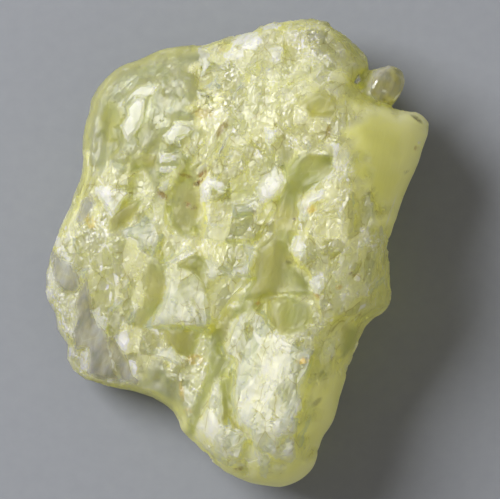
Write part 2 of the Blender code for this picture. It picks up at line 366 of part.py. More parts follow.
# Ground broken into fine sugary grains: outline
FINE = [
    [(4.4, 19.6), (7.0, 19.6), (7.0, 17.8), (6.4, 17.0), (4.2, 17.6)],
    [(-2.2, 13.0), (-0.8, 13.4), (0.0, 12.2), (-1.2, 11.0), (-3.2, 10.4), (-3.6, 11.4)],
    [(-1.4, 16.2), (-0.2, 16.2), (0.6, 15.2), (-0.8, 14.0), (-1.6, 15.2)],
    [(4.0, 10.0), (6.2, 9.6), (5.8, 8.6), (4.0, 8.8)],
    [(-16.4, 1.0), (-15.8, 0.0), (-16.0, -2.2), (-15.0, -3.4), (-14.0, -4.6), (-13.9, -7.0),
     (-15.6, -7.4), (-16.8, -3.0)],
    [(11.0, 1.8), (12.8, 1.6), (12.8, -0.2), (10.8, 0.2)],
    [(-12.2, 3.8), (-11.2, 3.4), (-10.8, 1.8), (-12.6, 0.8), (-12.8, 2.4)],
    [(8.4, 7.6), (9.8, 7.6), (9.6, 5.8), (8.0, 5.8)],
    [(-4.6, -8.6), (-3.2, -8.4), (-2.4, -9.4), (-3.4, -10.0), (-4.6, -9.4)],
]


def smoothstep(value):
    """Ease from 0 to 1 over the range 0 to 1."""
    value = np.clip(value, 0.0, 1.0)
    return value * value * (3.0 - 2.0 * value)


def depth_inside(polygon, x, y):
    """Distance of each point from the border of a polygon, positive inside it."""
    nearest = np.full(x.shape, 1.0e9)
    inside = np.zeros(x.shape, dtype=bool)
    for (ax, ay), (bx, by) in zip(polygon, polygon[1:] + polygon[:1]):
        ex = bx - ax
        ey = by - ay
        along = np.clip(((x - ax) * ex + (y - ay) * ey) / (ex * ex + ey * ey), 0.0, 1.0)
        nearest = np.minimum(nearest, np.hypot(x - ax - along * ex, y - ay - along * ey))
        if ey != 0.0:
            crosses = (ay > y) != (by > y)
            inside ^= crosses & (x < ax + (y - ay) * ex / ey)
    return np.where(inside, nearest, -nearest)


def edge_radius(angle):
    """Distance from the middle of the stone to its edge in each direction."""
    radius = np.zeros(angle.shape)
    ring = [(x - MIDDLE[0], y - MIDDLE[1]) for x, y in OUTLINE]
    cos_a = np.cos(angle)
    sin_a = np.sin(angle)
    for (ax, ay), (bx, by) in zip(ring, ring[1:] + ring[:1]):
        ex = bx - ax
        ey = by - ay
        cross = cos_a * ey - sin_a * ex
        cross = np.where(np.abs(cross) < 1.0e-9, 1.0e-9, cross)
        reach = (ax * ey - ay * ex) / cross
        along = (ax * sin_a - ay * cos_a) / cross
        hit = (reach > 0.0) & (along >= -1.0e-6) & (along <= 1.0 + 1.0e-6)
        radius = np.where(hit, np.maximum(radius, reach), radius)
    return radius


def bent_sheet(spots):
    """Thin bent sheet through the given heights, as a function of x and y."""
    table = np.array(spots)
    count = len(table)

    def kernel(dx, dy):
        square = dx * dx + dy * dy + 1.0e-9
        return square * np.log(square)

    system = np.zeros((count + 3, count + 3))
    system[:count, :count] = kernel(table[:, None, 0] - table[None, :, 0],
                                    table[:, None, 1] - table[None, :, 1])
    system[:count, count] = 1.0
    system[:count, count + 1:] = table[:, :2]
    system[count:, :count] = system[:count, count:].T
    weights = np.linalg.solve(system, np.append(table[:, 2], np.zeros(3)))

    def height(x, y):
        total = weights[count] + weights[count + 1] * x + weights[count + 2] * y
        for place in range(count):
            total = total + weights[place] * kernel(x - table[place, 0], y - table[place, 1])
        return total

    return height


def rim_values(x, y):
    """Height of the edge line and the widths of the two rims at each point."""
    total = np.zeros(x.shape)
    values = [np.zeros(x.shape) for _ in range(3)]
    for spot in RIM_SPOTS:
        weight = 1.0 / ((x - spot[0]) ** 2 + (y - spot[1]) ** 2 + 0.5) ** 2
        total += weight
        for which in range(3):
            values[which] += weight * spot[2 + which]
    return [value / total for value in values]


def rounding(depth, width):
    """Quarter-round rise from 0 at the edge to 1 at the given width inside it."""
    part = np.clip(depth / width, 0.0, 1.0)
    return np.sqrt(1.0 - (1.0 - part) ** 2)


def upper_height(x, y):
    """Height of the upper side with its raised masses and sunk ground."""
    height = bent_sheet(TOP_SPOTS)(x, y)
    for lift, width, outline in MASSES:
        height = height + lift * smoothstep(0.5 + depth_inside(outline, x, y) / width)
    return height


def lower_height(x, y):
    """Height of the underside: sunk in the middle, rising outward to the edge."""
    across = (x - BASE_CENTRE[0]) / BASE_HALF[0]
    along = (y - BASE_CENTRE[1]) / BASE_HALF[1]
    away = np.sqrt(across ** 2 + along ** 2)
    return -BASE_DEPTH + BASE_RISE * np.clip(away - 1.0, *BASE_RANGE)


def mesh_arrays(mesh):
    """Positions and normals of a mesh's points."""
    count = len(mesh.vertices)
    places = np.empty(count * 3)
    mesh.vertices.foreach_get("co", places)
    normals = np.empty(count * 3)
    mesh.vertex_normals.foreach_get("vector", normals)
    return places.reshape(-1, 3), normals.reshape(-1, 3)


def set_places(mesh, places):
    """Give a mesh's points new positions."""
    mesh.vertices.foreach_set("co", places.ravel())
    mesh.update()


def round_body(mesh):
    """Turn the unit sphere into the smooth body of the stone."""
    sphere, _ = mesh_arrays(mesh)
    flat = np.hypot(sphere[:, 0], sphere[:, 1])
    angle = np.arctan2(sphere[:, 1], sphere[:, 0])
    reach = flat * edge_radius(angle)
    x = MIDDLE[0] + reach * np.cos(angle)
    y = MIDDLE[1] + reach * np.sin(angle)
    depth = np.maximum(depth_inside(OUTLINE, x, y), 0.0)
    edge, upper_rim, lower_rim = rim_values(x, y)
    above = edge + (upper_height(x, y) - edge) * rounding(depth, upper_rim)
    below = edge + (lower_height(x, y) - edge) * rounding(depth, lower_rim)
    is_upper = sphere[:, 2] >= 0.0
    z = np.where(is_upper, above, np.minimum(below, above))
    set_places(mesh, np.stack([x, y, z], axis=1))
    return depth, is_upper


def grain_space(places, is_upper):
    """Squeeze positions along the grain, so that cells come out long in that direction."""
    along = places[:, 0] * math.cos(CELL_GRAIN) + places[:, 1] * math.sin(CELL_GRAIN)
    across = -places[:, 0] * math.sin(CELL_GRAIN) + places[:, 1] * math.cos(CELL_GRAIN)
    level = places[:, 2] + np.where(is_upper, CELL_APART, 0.0)
    return np.stack([along / CELL_STRETCH, across, level], axis=1)


def scatter_cells(squeezed, spacing, randoms):
    """Choose cell centres among the points, none nearer to another than its spacing."""
    chosen = []
    centres = np.empty((CELL_TRIES, 3))
    for index in randoms.permutation(len(squeezed))[:CELL_TRIES]:
        place = squeezed[index]
        room = spacing[index] * randoms.uniform(*CELL_SPREAD)
        taken = centres[:len(chosen)]
        if len(chosen) and np.min(np.sum((taken - place) ** 2, axis=1)) < room ** 2:
            continue
        centres[len(chosen)] = place
        chosen.append(index)
    return np.array(chosen)


def chip_depth(places, normals, fine, randoms, is_upper):
    """How far each point is cut back by the lowest of the scooped breaks round it."""
    squeezed = grain_space(places, is_upper)
    spacing = np.where(is_upper, np.where(fine, CELL_FINE, CELL_TOP), CELL_UNDER)
    centres = scatter_cells(squeezed, spacing, randoms)
    tree = kdtree.KDTree(len(centres))
    for number, index in enumerate(centres):
        tree.insert(Vector(squeezed[index]), number)
    tree.balance()
    near = np.array([[hit[1] for hit in tree.find_n(Vector(place), CELL_PLANES)]
                     for place in squeezed])
    roughness = np.where(fine[centres], CELL_FINE_TILT, CELL_TILT)
    tilts = randoms.normal(0.0, 1.0, (len(centres), 3)) * roughness[:, None]
    lifts = randoms.uniform(*CELL_LIFT, len(centres))
    faces = normals[centres] + tilts
    faces /= np.linalg.norm(faces, axis=1)[:, None]
    middles = places[centres] + normals[centres] * lifts[:, None]
    lowest = np.full(len(places), CELL_LIMIT)
    for rank in range(CELL_PLANES):
        cell = near[:, rank]
        lean = np.maximum(np.sum(normals * faces[cell], axis=1), CELL_LEAN)
        away = middles[cell] - places
        shift = np.sum(away * faces[cell], axis=1) / lean
        shift += CELL_HOLLOW * np.sum(away ** 2, axis=1)
        lowest = np.minimum(lowest, shift)
    return np.maximum(lowest, -CELL_LIMIT)


def break_surface(mesh, depth, is_upper):
    """Flatten the smooth body into broken cells and named plates."""
    randoms = np.random.RandomState(SEED)
    places, normals = mesh_arrays(mesh)
    x, y = places[:, 0], places[:, 1]
    _, upper_rim, lower_rim = rim_values(x, y)

    calm = np.zeros(len(places))
    for outline in SMOOTH:
        calm = np.maximum(calm, smoothstep(0.5 + depth_inside(outline, x, y) / CALM_WIDTH))
    calm = np.where(is_upper, calm, 0.0)
    fine = np.zeros(len(places), dtype=bool)
    for outline in FINE:
        fine |= depth_inside(outline, x, y) > 0.0

    shift = chip_depth(places, normals, fine, randoms, is_upper)
    shift *= (1.0 - calm) * smoothstep(depth / EDGE_FADE)
    # Straight up or down inside the rims, along the surface's own normal at the edge
    upright = np.where(is_upper, 1.0, -1.0)[:, None] * np.array([0.0, 0.0, 1.0])
    inner = smoothstep(depth / np.where(is_upper, upper_rim, lower_rim))[:, None]
    broken = places + (normals + (upright - normals) * inner) * shift[:, None]

    start, full = PLATE_HOLD
    hold = smoothstep((depth / upper_rim - start) / (full - start))
    for slope_x, slope_y, lift, outline in PLATES:
        within = depth_inside(outline, x, y)
        inside = is_upper & (within > 0.0)
        middle = places[inside].mean(axis=0)
        rise = middle[2] + PLATE_RISE * lift - places[:, 2]
        rise += slope_x * (x - middle[0]) + slope_y * (y - middle[1])
        bent = places[:, 2] + PLATE_REACH * np.tanh(rise / PLATE_REACH)
        share = np.where(is_upper, smoothstep(within / PLATE_STEP) * hold, 0.0)
        broken[:, 2] += (bent - broken[:, 2]) * share
    set_places(mesh, broken)


def apply_modifiers(thing):
    """Replace an object's mesh by its finished shape."""
    graph = bpy.context.evaluated_depsgraph_get()
    mesh = bpy.data.meshes.new_from_object(thing.evaluated_get(graph))
    thing.modifiers.clear()
    thing.data = mesh


def thin_out(thing, triangles):
    """Reduce a solid to about the given number of triangles."""
    reducer = thing.modifiers.new("thin_out", "DECIMATE")
    reducer.decimate_type = "COLLAPSE"
    reducer.ratio = triangles / len(thing.data.polygons)
    reducer.use_collapse_triangulate = True
    apply_modifiers(thing)


def new_sphere(name, level, collection):
    """A unit sphere of even triangles."""
    shape = bmesh.new()
    bmesh.ops.create_icosphere(shape, subdivisions=level, radius=1.0)
    mesh = bpy.data.meshes.new(name)
    shape.to_mesh(mesh)
    shape.free()
    thing = bpy.data.objects.new(name, mesh)
    collection.objects.link(thing)
    return thing


def make_body(collection):
    """The broken stone without its small side crystal, in millimetres."""
    body = new_sphere("heliodor_crystal", SPHERE_LEVEL, collection)
    depth, is_upper = round_body(body.data)
    break_surface(body.data, depth, is_upper)
    thin_out(body, BODY_TRIANGLES)
    return body


def make_nub(collection):
    """The small rounded crystal on the edge, in millimetres."""
    nub = new_sphere("side_crystal", NUB_LEVEL, collection)
    turn = Matrix.Rotation(NUB_TURN, 4, "Z") @ Matrix.Rotation(NUB_PITCH, 4, "Y")
    stretch = Matrix.Diagonal((*NUB_HALF, 1.0))
    places, _ = mesh_arrays(nub.data)
    for direction, distance in NUB_FLATS:
        flat = np.array(direction) / np.linalg.norm(direction)
        over = np.maximum(places @ flat - distance, 0.0)
        places = places - NUB_PRESS * over[:, None] * flat
    set_places(nub.data, places)
    nub.data.transform(Matrix.Translation(NUB_AT) @ turn @ stretch)
    nub.data.update()
    return nub


def make_floor_cutter(collection):
    """Block whose upper face is the plane that the stone rests on."""
    shape = bmesh.new()
    bmesh.ops.create_cube(shape, size=CUTTER_SIZE)
    mesh = bpy.data.meshes.new("base_cutter")
    shape.to_mesh(mesh)
    shape.free()
    mesh.transform(Matrix.Translation((0.0, 0.0, -CUTTER_SIZE / 2.0)))
    cutter = bpy.data.objects.new("base_cutter", mesh)
    collection.objects.link(cutter)
    return cutter


def combine(thing, other, operation):
    """Join or cut one solid with another."""
    join = thing.modifiers.new(operation.lower(), "BOOLEAN")
    join.operation = operation
    join.solver = "EXACT"
    join.object = other
    apply_modifiers(thing)


def tidy(mesh):
    """Merge points that coincide, leave only triangles and face them outward."""
    shape = bmesh.new()
    shape.from_mesh(mesh)
    bmesh.ops.remove_doubles(shape, verts=shape.verts, dist=MERGE)
    bmesh.ops.dissolve_degenerate(shape, edges=shape.edges, dist=MERGE)
    bmesh.ops.triangulate(shape, faces=shape.faces)
    bmesh.ops.recalc_face_normals(shape, faces=shape.faces)
    shape.to_mesh(mesh)
    shape.free()


def fit_size(mesh):
    """Centre the solid over the origin and bring it to its real size in metres."""
    places, _ = mesh_arrays(mesh)
    low = places.min(axis=0)
    high = places.max(axis=0)
    middle = (low + high) / 2.0
    middle[2] = low[2]
    size = np.array([WIDTH, LENGTH, HEIGHT])
    set_places(mesh, (places - middle) * size / (high - low))


def make_material():
    """Clear yellow-green beryl with a satin broken surface."""
    material = bpy.data.materials.new("heliodor")
    material.use_nodes = True
    shader = material.node_tree.nodes["Principled BSDF"]
    shader.inputs["Base Color"].default_value = (0.80, 0.85, 0.30, 1.0)
    shader.inputs["Roughness"].default_value = 0.25
    shader.inputs["IOR"].default_value = 1.575
    shader.inputs["Transmission Weight"].default_value = 0.9
    return material


def main():
    """Build the crystal."""
    for thing in list(bpy.data.objects):
        bpy.data.objects.remove(thing, do_unlink=True)
    scene = bpy.context.scene
    parts = bpy.data.collections.new("heliodor crystal")
    scene.collection.children.link(parts)
    cutters = bpy.data.collections.new("cutters")
    scene.collection.children.link(cutters)
    cutters.hide_render = True

    body = make_body(parts)
    nub = make_nub(cutters)
    floor = make_floor_cutter(cutters)
    for helper in (nub, floor):
        helper.hide_render = True
        helper.display_type = "WIRE"
    combine(body, nub, "UNION")
    combine(body, floor, "DIFFERENCE")
    tidy(body.data)
    fit_size(body.data)
    for helper in (nub, floor):
        helper.data.transform(Matrix.Scale(MM, 4))
    body.data.name = "heliodor_crystal"
    body.data.materials.clear()
    body.data.materials.append(make_material())


main()
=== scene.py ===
"""The looks of the heliodor crystal: fine breaks, clear yellow-green body, stains and light.

Places are in millimetres as the stone is seen from straight above, +X right and +Y up.
"""

import math
from types import SimpleNamespace

import bmesh
import bpy
import numpy as np
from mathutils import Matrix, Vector, kdtree

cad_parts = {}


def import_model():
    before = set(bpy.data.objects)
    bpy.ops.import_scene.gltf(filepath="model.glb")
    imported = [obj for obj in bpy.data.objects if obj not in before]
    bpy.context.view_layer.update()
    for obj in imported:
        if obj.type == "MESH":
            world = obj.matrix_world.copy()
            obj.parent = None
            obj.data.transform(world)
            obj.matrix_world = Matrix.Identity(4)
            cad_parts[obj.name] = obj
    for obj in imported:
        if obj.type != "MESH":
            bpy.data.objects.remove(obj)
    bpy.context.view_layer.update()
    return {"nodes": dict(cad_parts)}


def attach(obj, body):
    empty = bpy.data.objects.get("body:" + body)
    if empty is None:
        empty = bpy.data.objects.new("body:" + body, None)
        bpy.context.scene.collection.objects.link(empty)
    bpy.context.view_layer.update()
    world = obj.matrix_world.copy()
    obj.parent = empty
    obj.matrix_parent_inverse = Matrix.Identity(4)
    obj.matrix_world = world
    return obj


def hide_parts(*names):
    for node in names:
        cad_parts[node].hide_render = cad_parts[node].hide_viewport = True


MM = 0.001
SEED = 7
# Direction that the stone's grain runs in, in degrees from +X
GRAIN = 72.0

# The middle of the stone's size, in the plan's millimetres
PLAN_SHIFT = (0.12, 0.0)

# Longest edge of the refined mesh, in millimetres
EDGE_TOP = 0.30
EDGE_FINE = 0.23
EDGE_BORDER = 0.18
EDGE_UNDER = 1.1
BORDER_WIDTH = 0.10
SPLIT_ROUNDS = 6
# Edges shorter than this are closed up first, in millimetres
EDGE_LEAST = 0.06
# Triangles lower than this share of their longest edge have that edge turned
THIN_SHARE = 0.12
THIN_BEND = 50.0
THIN_ROUNDS = 4
# Rounds of easing for points where the surface has folded over
FOLD_ROUNDS = 14

# Broad flakes, then small chips in them: distances in millimetres, tilts as slopes. The fine
# values are for ground of fine grains, and stretch is the length along the grain.
FLAKES = {"seed": 11, "spacing": 1.5, "fine_spacing": 1.0, "tilt": 0.15, "fine_tilt": 0.20,
          "lift": (0.0, 0.06), "limit": 0.18, "stretch": 1.7}
CHIPS = {"seed": SEED, "spacing": 0.62, "fine_spacing": 0.42, "tilt": 0.17, "fine_tilt": 0.34,
         "lift": (0.0, 0.05), "limit": 0.13, "stretch": 1.2}
CHIP_SPREAD = (0.6, 2.0)
# Nearest break planes tried at each point
CHIP_PLANES = 6
# Rounds of easing that turn the points' normals into even directions for the chips
EASE_ROUNDS = 14

# Heights at which a change begins and how far it runs, in millimetres above the floor
ROUNDED_FROM = (0.4, 0.8)
BROKEN_FROM = (2.5, 2.0)
MARKED_FROM = (2.6, 1.2)
SPLIT_FROM = 3.6
NUB_TOP = 10.2

# Width of the soft borders of ground that holds back the breaks or the easing, in
# millimetres, and how much some of it holds them back
BREAK_FADE = {"smooth": 1.6, "sunk": 0.6, "quiet": 1.0, "fine": 0.4}
BREAK_HOLD = {"quiet": 0.7, "plates": 0.4}
EASE_FADE = {"smooth": 1.4, "deep": 0.4, "plates": 0.2, "quiet": 1.0}
EASE_SHARE = {"deep": 0.35, "quiet": 0.45}
SMOOTH_ROUNDS = 24

# Patterns of the material, as scales per metre
GRAIN_SCALE = 1500.0
PATCH_SCALE = 230.0
MOTTLE_SCALE = 800.0
VEIL_SCALE = 900.0
STREAK_SCALE = 3600.0
TEETH_SCALE = 2200.0
CROWD_SCALE = 420.0
SUGAR_SCALE = 3800.0
BIG_FLAKES = {"scale": 700.0, "bend": 0.0005}
SMALL_FLAKES = {"scale": 2300.0, "bend": 0.00014}

# Colours of each kind of ground; two colours are the ends of a range
COLOURS = {
    "body": ((0.80, 0.86, 0.50), (0.92, 0.90, 0.46)),
    "mottle": (0.93, 0.93, 0.68),
    "small_flakes": ((0.66, 0.67, 0.28), (0.98, 0.97, 0.74)),
    "big_flakes": (0.95, 0.94, 0.62),
    "quiet": ((0.68, 0.75, 0.50), (0.80, 0.82, 0.50)),
    "edge": (0.95, 0.94, 0.32),
    # Smooth flank and rim: partly own colour, partly painted glow
    "satin": ((0.96, 0.95, 0.34), (0.985, 0.985, 0.38)),
    # Darker olive: partly the body's colour, partly painted shade in the hollows
    "deep": ((0.63, 0.67, 0.24), (0.76, 0.74, 0.27)),
    "beige": (0.98, 0.93, 0.50),
    "clear": ((0.84, 0.85, 0.76), (0.92, 0.87, 0.62)),
    "nub": ((0.90, 0.86, 0.62), (0.94, 0.84, 0.36)),
    # Pale plates: partly real frost, partly painted glare
    "frost": ((0.68, 0.76, 0.60), (0.93, 0.95, 0.80)),
    "bright": ((0.84, 0.88, 0.72), (0.98, 0.98, 0.90)),
    # Near-white of the painted glints and highlights
    "glint": (0.98, 0.98, 0.88),
    "crack": (0.50, 0.44, 0.12),
    "rust": ((0.88, 0.60, 0.16), (0.17, 0.10, 0.02)),
    "dark": (0.10, 0.09, 0.05),
}

# How strongly a colour covers what is under it, where it isn't fully
COVER = {"mottle": 0.35, "flakes": 0.6, "quiet": 0.7, "edge": 0.85, "beige": 0.7}
# How much each kind of ground hides the flakes
CALM = {"deep": 0.75, "clear": 0.85, "quiet": 0.75}

# Ranges that patterns are mapped from and, where they have four numbers, mapped to
RANGES = {
    "patch": (0.40, 0.60), "mottle": (0.38, 0.62), "crowd": (0.52, 0.64),
    "ragged": (0.25, 0.75, -0.45, 0.45), "crisp": (0.44, 0.58),
    "thin_streak": (0.34, 0.60, 0.60, 1.0), "thin_veil": (0.40, 0.56, 0.45, 1.0),
    "thin_patch": (0.0, 1.0, 0.72, 1.0), "on_plate": (0.0, 1.0, 1.0, 0.3),
    "fleck_glint": (1.09, 1.13, 0.0, 0.8), "sugar": (0.54, 0.62, 0.0, 0.9),
    "rim": (0.0, 0.04, 1.0, 0.0), "rim_veil": (0.52, 0.60, 0.0, 0.8),
    "crack": (0.0, 0.035, 1.0, 0.0), "crack_veil": (0.44, 0.50, 0.7, 0.0),
    "rust": (0.38, 0.52, 0.25, 1.0), "dark": (0.34, 0.46, 0.55, 1.0),
}

# Share of the light that each kind of ground turns back, the rest goes through: one share, or
# a pattern's range and the shares that it is mapped to
MILK = {
    "body": (0.36, 0.64, 0.40, 0.58), "quiet": (0.36, 0.64, 0.20, 0.36),
    "satin": (0.0, 1.0, 0.74, 0.92), "deep": (0.35, 0.65, 0.24, 0.40),
    "clear": (0.40, 0.66, 0.22, 0.44), "nub": (0.40, 0.66, 0.24, 0.50),
    "frost": (0.0, 1.0, 0.40, 0.64), "bright": 0.76, "glint": 0.86, "rust": 0.85, "dark": 0.9,
}
MILK_PER_FLAKE = (0.0, 1.0, -0.14, 0.14)
MILK_AT_EDGE = 0.16

ROUGHNESS = {"body": (0.3, 0.7, 0.30, 0.46), "satin": 0.46, "deep": 0.50,
             "frost": (0.3, 0.7, 0.44, 0.60), "glossy": 0.08}
INDEX = 1.575
BODY_COLOUR = (0.92, 0.93, 0.48, 1.0)
BODY_DENSITY = 100.0
# How far the light that the veils turn back spreads, in metres, and its share per colour
SPREAD_REACH = 0.009
SPREAD_SHARES = (1.0, 1.0, 0.5)
# Height of the fine streaks, in metres
STREAK_HEIGHT = 0.000015

FLOOR_TONES = ((0.274, 0.292, 0.336), (0.308, 0.326, 0.372))
FLOOR_SCALE = 900.0
# How far the floor lies below the stone, so that the two never share a plane
FLOOR_GAP = 0.00005

# Camera, in metres, and light, in degrees, metres and watts
CAMERA_LENS = 300.0
CAMERA_AIM = (0.0012, 0.00034, 0.006)
VIEW_WIDTH = 0.04282
KEY_AZIMUTH = 147.0
KEY_ELEVATION = 43.0
LAMP_DISTANCE = 0.5
KEY_SIZE = 0.26
KEY_POWER = 3.15
SIDE_AZIMUTH = -32.0
SIDE_ELEVATION = 18.0
SIDE_SIZE = 0.45
SIDE_POWER = 0.34
LAMP_COLOUR = (1.0, 0.99, 0.95)
FILL_STRENGTH = 0.222
FILL_COLOUR = (1.0, 0.92, 0.82, 1.0)

# Smooth olive ground of the right flank and of the rim round the lower lobe, pale partly by its
# own colour and partly by painted glow on sides turned from the lamp
OLIVE = [
    [(9.9, 12.2), (12.9, 12.5), (15.5, 12.2), (17.0, 11.0), (16.6, 8.0), (14.0, 1.6), (12.4, 2.2),
     (11.9, 4.5), (11.3, 6.0), (10.3, 6.8), (9.9, 9.0)],
    [(9.0, -9.6), (7.4, -10.0), (6.4, -12.0), (6.1, -14.6), (5.9, -17.0), (4.6, -17.8),
     (1.6, -18.6), (-1.6, -18.2), (-3.8, -16.2), (-4.3, -14.2), (-6.0, -14.4), (-4.0, -18.4),
     (3.0, -21.5), (8.0, -19.5), (10.0, -12.0)],
]

# Other smooth rounded ground
SMOOTH = OLIVE + [
    [(-13.0, 12.6), (-10.4, 13.4), (-8.2, 15.2), (-5.8, 14.9), (-3.8, 14.2), (-3.6, 17.4),
     (-3.6, 18.8), (-12.0, 17.4)],
    [(-12.4, 12.4), (-11.9, 11.0), (-12.3, 9.0), (-12.2, 6.6), (-13.0, 5.4), (-14.6, 5.0),
     (-14.4, 13.0)],
    [(-7.4, 13.2), (-4.2, 13.9), (-3.4, 12.4), (-3.8, 11.6), (-6.0, 11.6), (-7.6, 10.6)],
    [(10.6, 14.6), (11.4, 15.7), (13.4, 17.0), (15.6, 15.2), (13.6, 12.5), (10.9, 13.0)],
]

# Ground that is nearly smooth between its plates
QUIET = [
    [(-14.0, 10.0), (-13.6, 16.0), (-3.4, 19.4), (-3.5, 14.4), (-3.9, 10.4), (-4.4, 8.2),
     (-5.4, 6.6), (-7.6, 6.4), (-8.8, 8.8), (-9.4, 7.4), (-12.2, 7.2)],
    [(-9.0, -9.6), (-4.4, -9.6), (-3.2, -13.0), (-4.0, -15.0), (-8.6, -12.4)],
]

# Sunk olive bands and green facets between the plates, darker partly by the body seen through the
# ground and partly by painted shade in the hollows
DEEP = [
    [(0.64, -3.8), (1.84, -4.2), (0.64, -5.0), (-0.4, -5.4), (-0.8, -6.4), (-1.1, -7.4),
     (-1.6, -7.9), (-1.3, -8.6), (-0.8, -9.1), (-1.2, -10.2), (-1.9, -10.7), (-2.4, -11.9),
     (-3.0, -13.2), (-3.5, -14.8), (-3.8, -15.8), (-4.5, -15.5), (-4.1, -14.1), (-3.5, -12.7),
     (-2.8, -11.4), (-2.3, -10.2), (-2.4, -8.8), (-2.4, -7.6), (-1.9, -6.4), (-0.7, -5.2)],
    [(-1.5, -10.9), (-0.5, -10.5), (-0.5, -12.0), (-0.4, -13.3), (0.1, -14.3), (0.45, -14.85),
     (-0.4, -14.8), (-0.75, -13.9), (-0.8, -14.5), (-1.24, -14.4), (-1.33, -12.7)],
    [(4.8, 8.0), (6.0, 8.5), (8.0, 8.2), (7.9, 7.0), (6.6, 5.8), (5.3, 4.9), (5.0, 3.4),
     (4.5, 1.6), (4.5, 0.2), (4.6, -1.0), (6.0, -2.4), (6.0, -3.4), (4.2, -3.4), (2.6, -3.6),
     (1.0, -4.0), (0.2, -4.0), (1.5, -2.2), (1.6, 0.4), (3.2, 1.6), (3.2, 3.0), (3.7, 4.6),
     (4.2, 6.0), (4.0, 7.2)],
    [(-5.3, 6.0), (-4.9, 8.2), (-4.3, 8.0), (-3.7, 6.4), (-3.3, 4.6), (-3.3, 2.2), (-4.4, 1.4),
     (-5.6, 2.4), (-5.6, 4.2)],
    [(-6.0, -6.5), (-4.5, -6.4), (-3.3, -6.7), (-3.6, -8.1), (-3.96, -8.8), (-5.2, -8.5),
     (-5.84, -7.56)],
    [(-4.4, -0.45), (-3.3, 0.1), (-2.75, -0.6), (-2.5, -2.6), (-2.5, -3.8), (-2.9, -2.6),
     (-3.6, -1.55), (-5.0, -1.1)],
    [(-6.5, -0.7), (-6.2, -1.6), (-6.1, -2.8), (-6.4, -4.1), (-7.2, -5.2), (-8.1, -6.3),
     (-8.6, -6.2), (-8.2, -5.0), (-7.8, -3.6), (-7.9, -1.8), (-7.4, -0.6)],
    [(-8.9, 8.5), (-6.8, 8.5), (-7.0, 7.3), (-8.35, 7.3), (-9.1, 6.9)],
    [(-11.0, 2.9), (-10.2, 3.7), (-9.2, 4.4), (-8.2, 4.6), (-8.6, 3.4), (-9.6, 2.6),
     (-10.8, 1.8)],
    [(5.3, 12.6), (7.0, 13.7), (8.4, 12.9), (8.2, 11.5), (6.2, 11.3)],
    [(2.6, -3.8), (4.2, -3.5), (5.9, -4.4), (6.2, -5.4), (5.6, -6.4), (4.3, -7.0), (3.3, -6.6),
     (2.6, -5.4)],
    [(-10.4, 13.0), (-9.6, 11.9), (-9.5, 11.2), (-10.4, 10.6), (-9.8, 9.6), (-11.0, 9.4),
     (-12.0, 11.0), (-11.2, 13.0)],
    [(8.9, -6.0), (10.3, -6.4), (10.0, -8.0), (8.9, -8.8)],
]
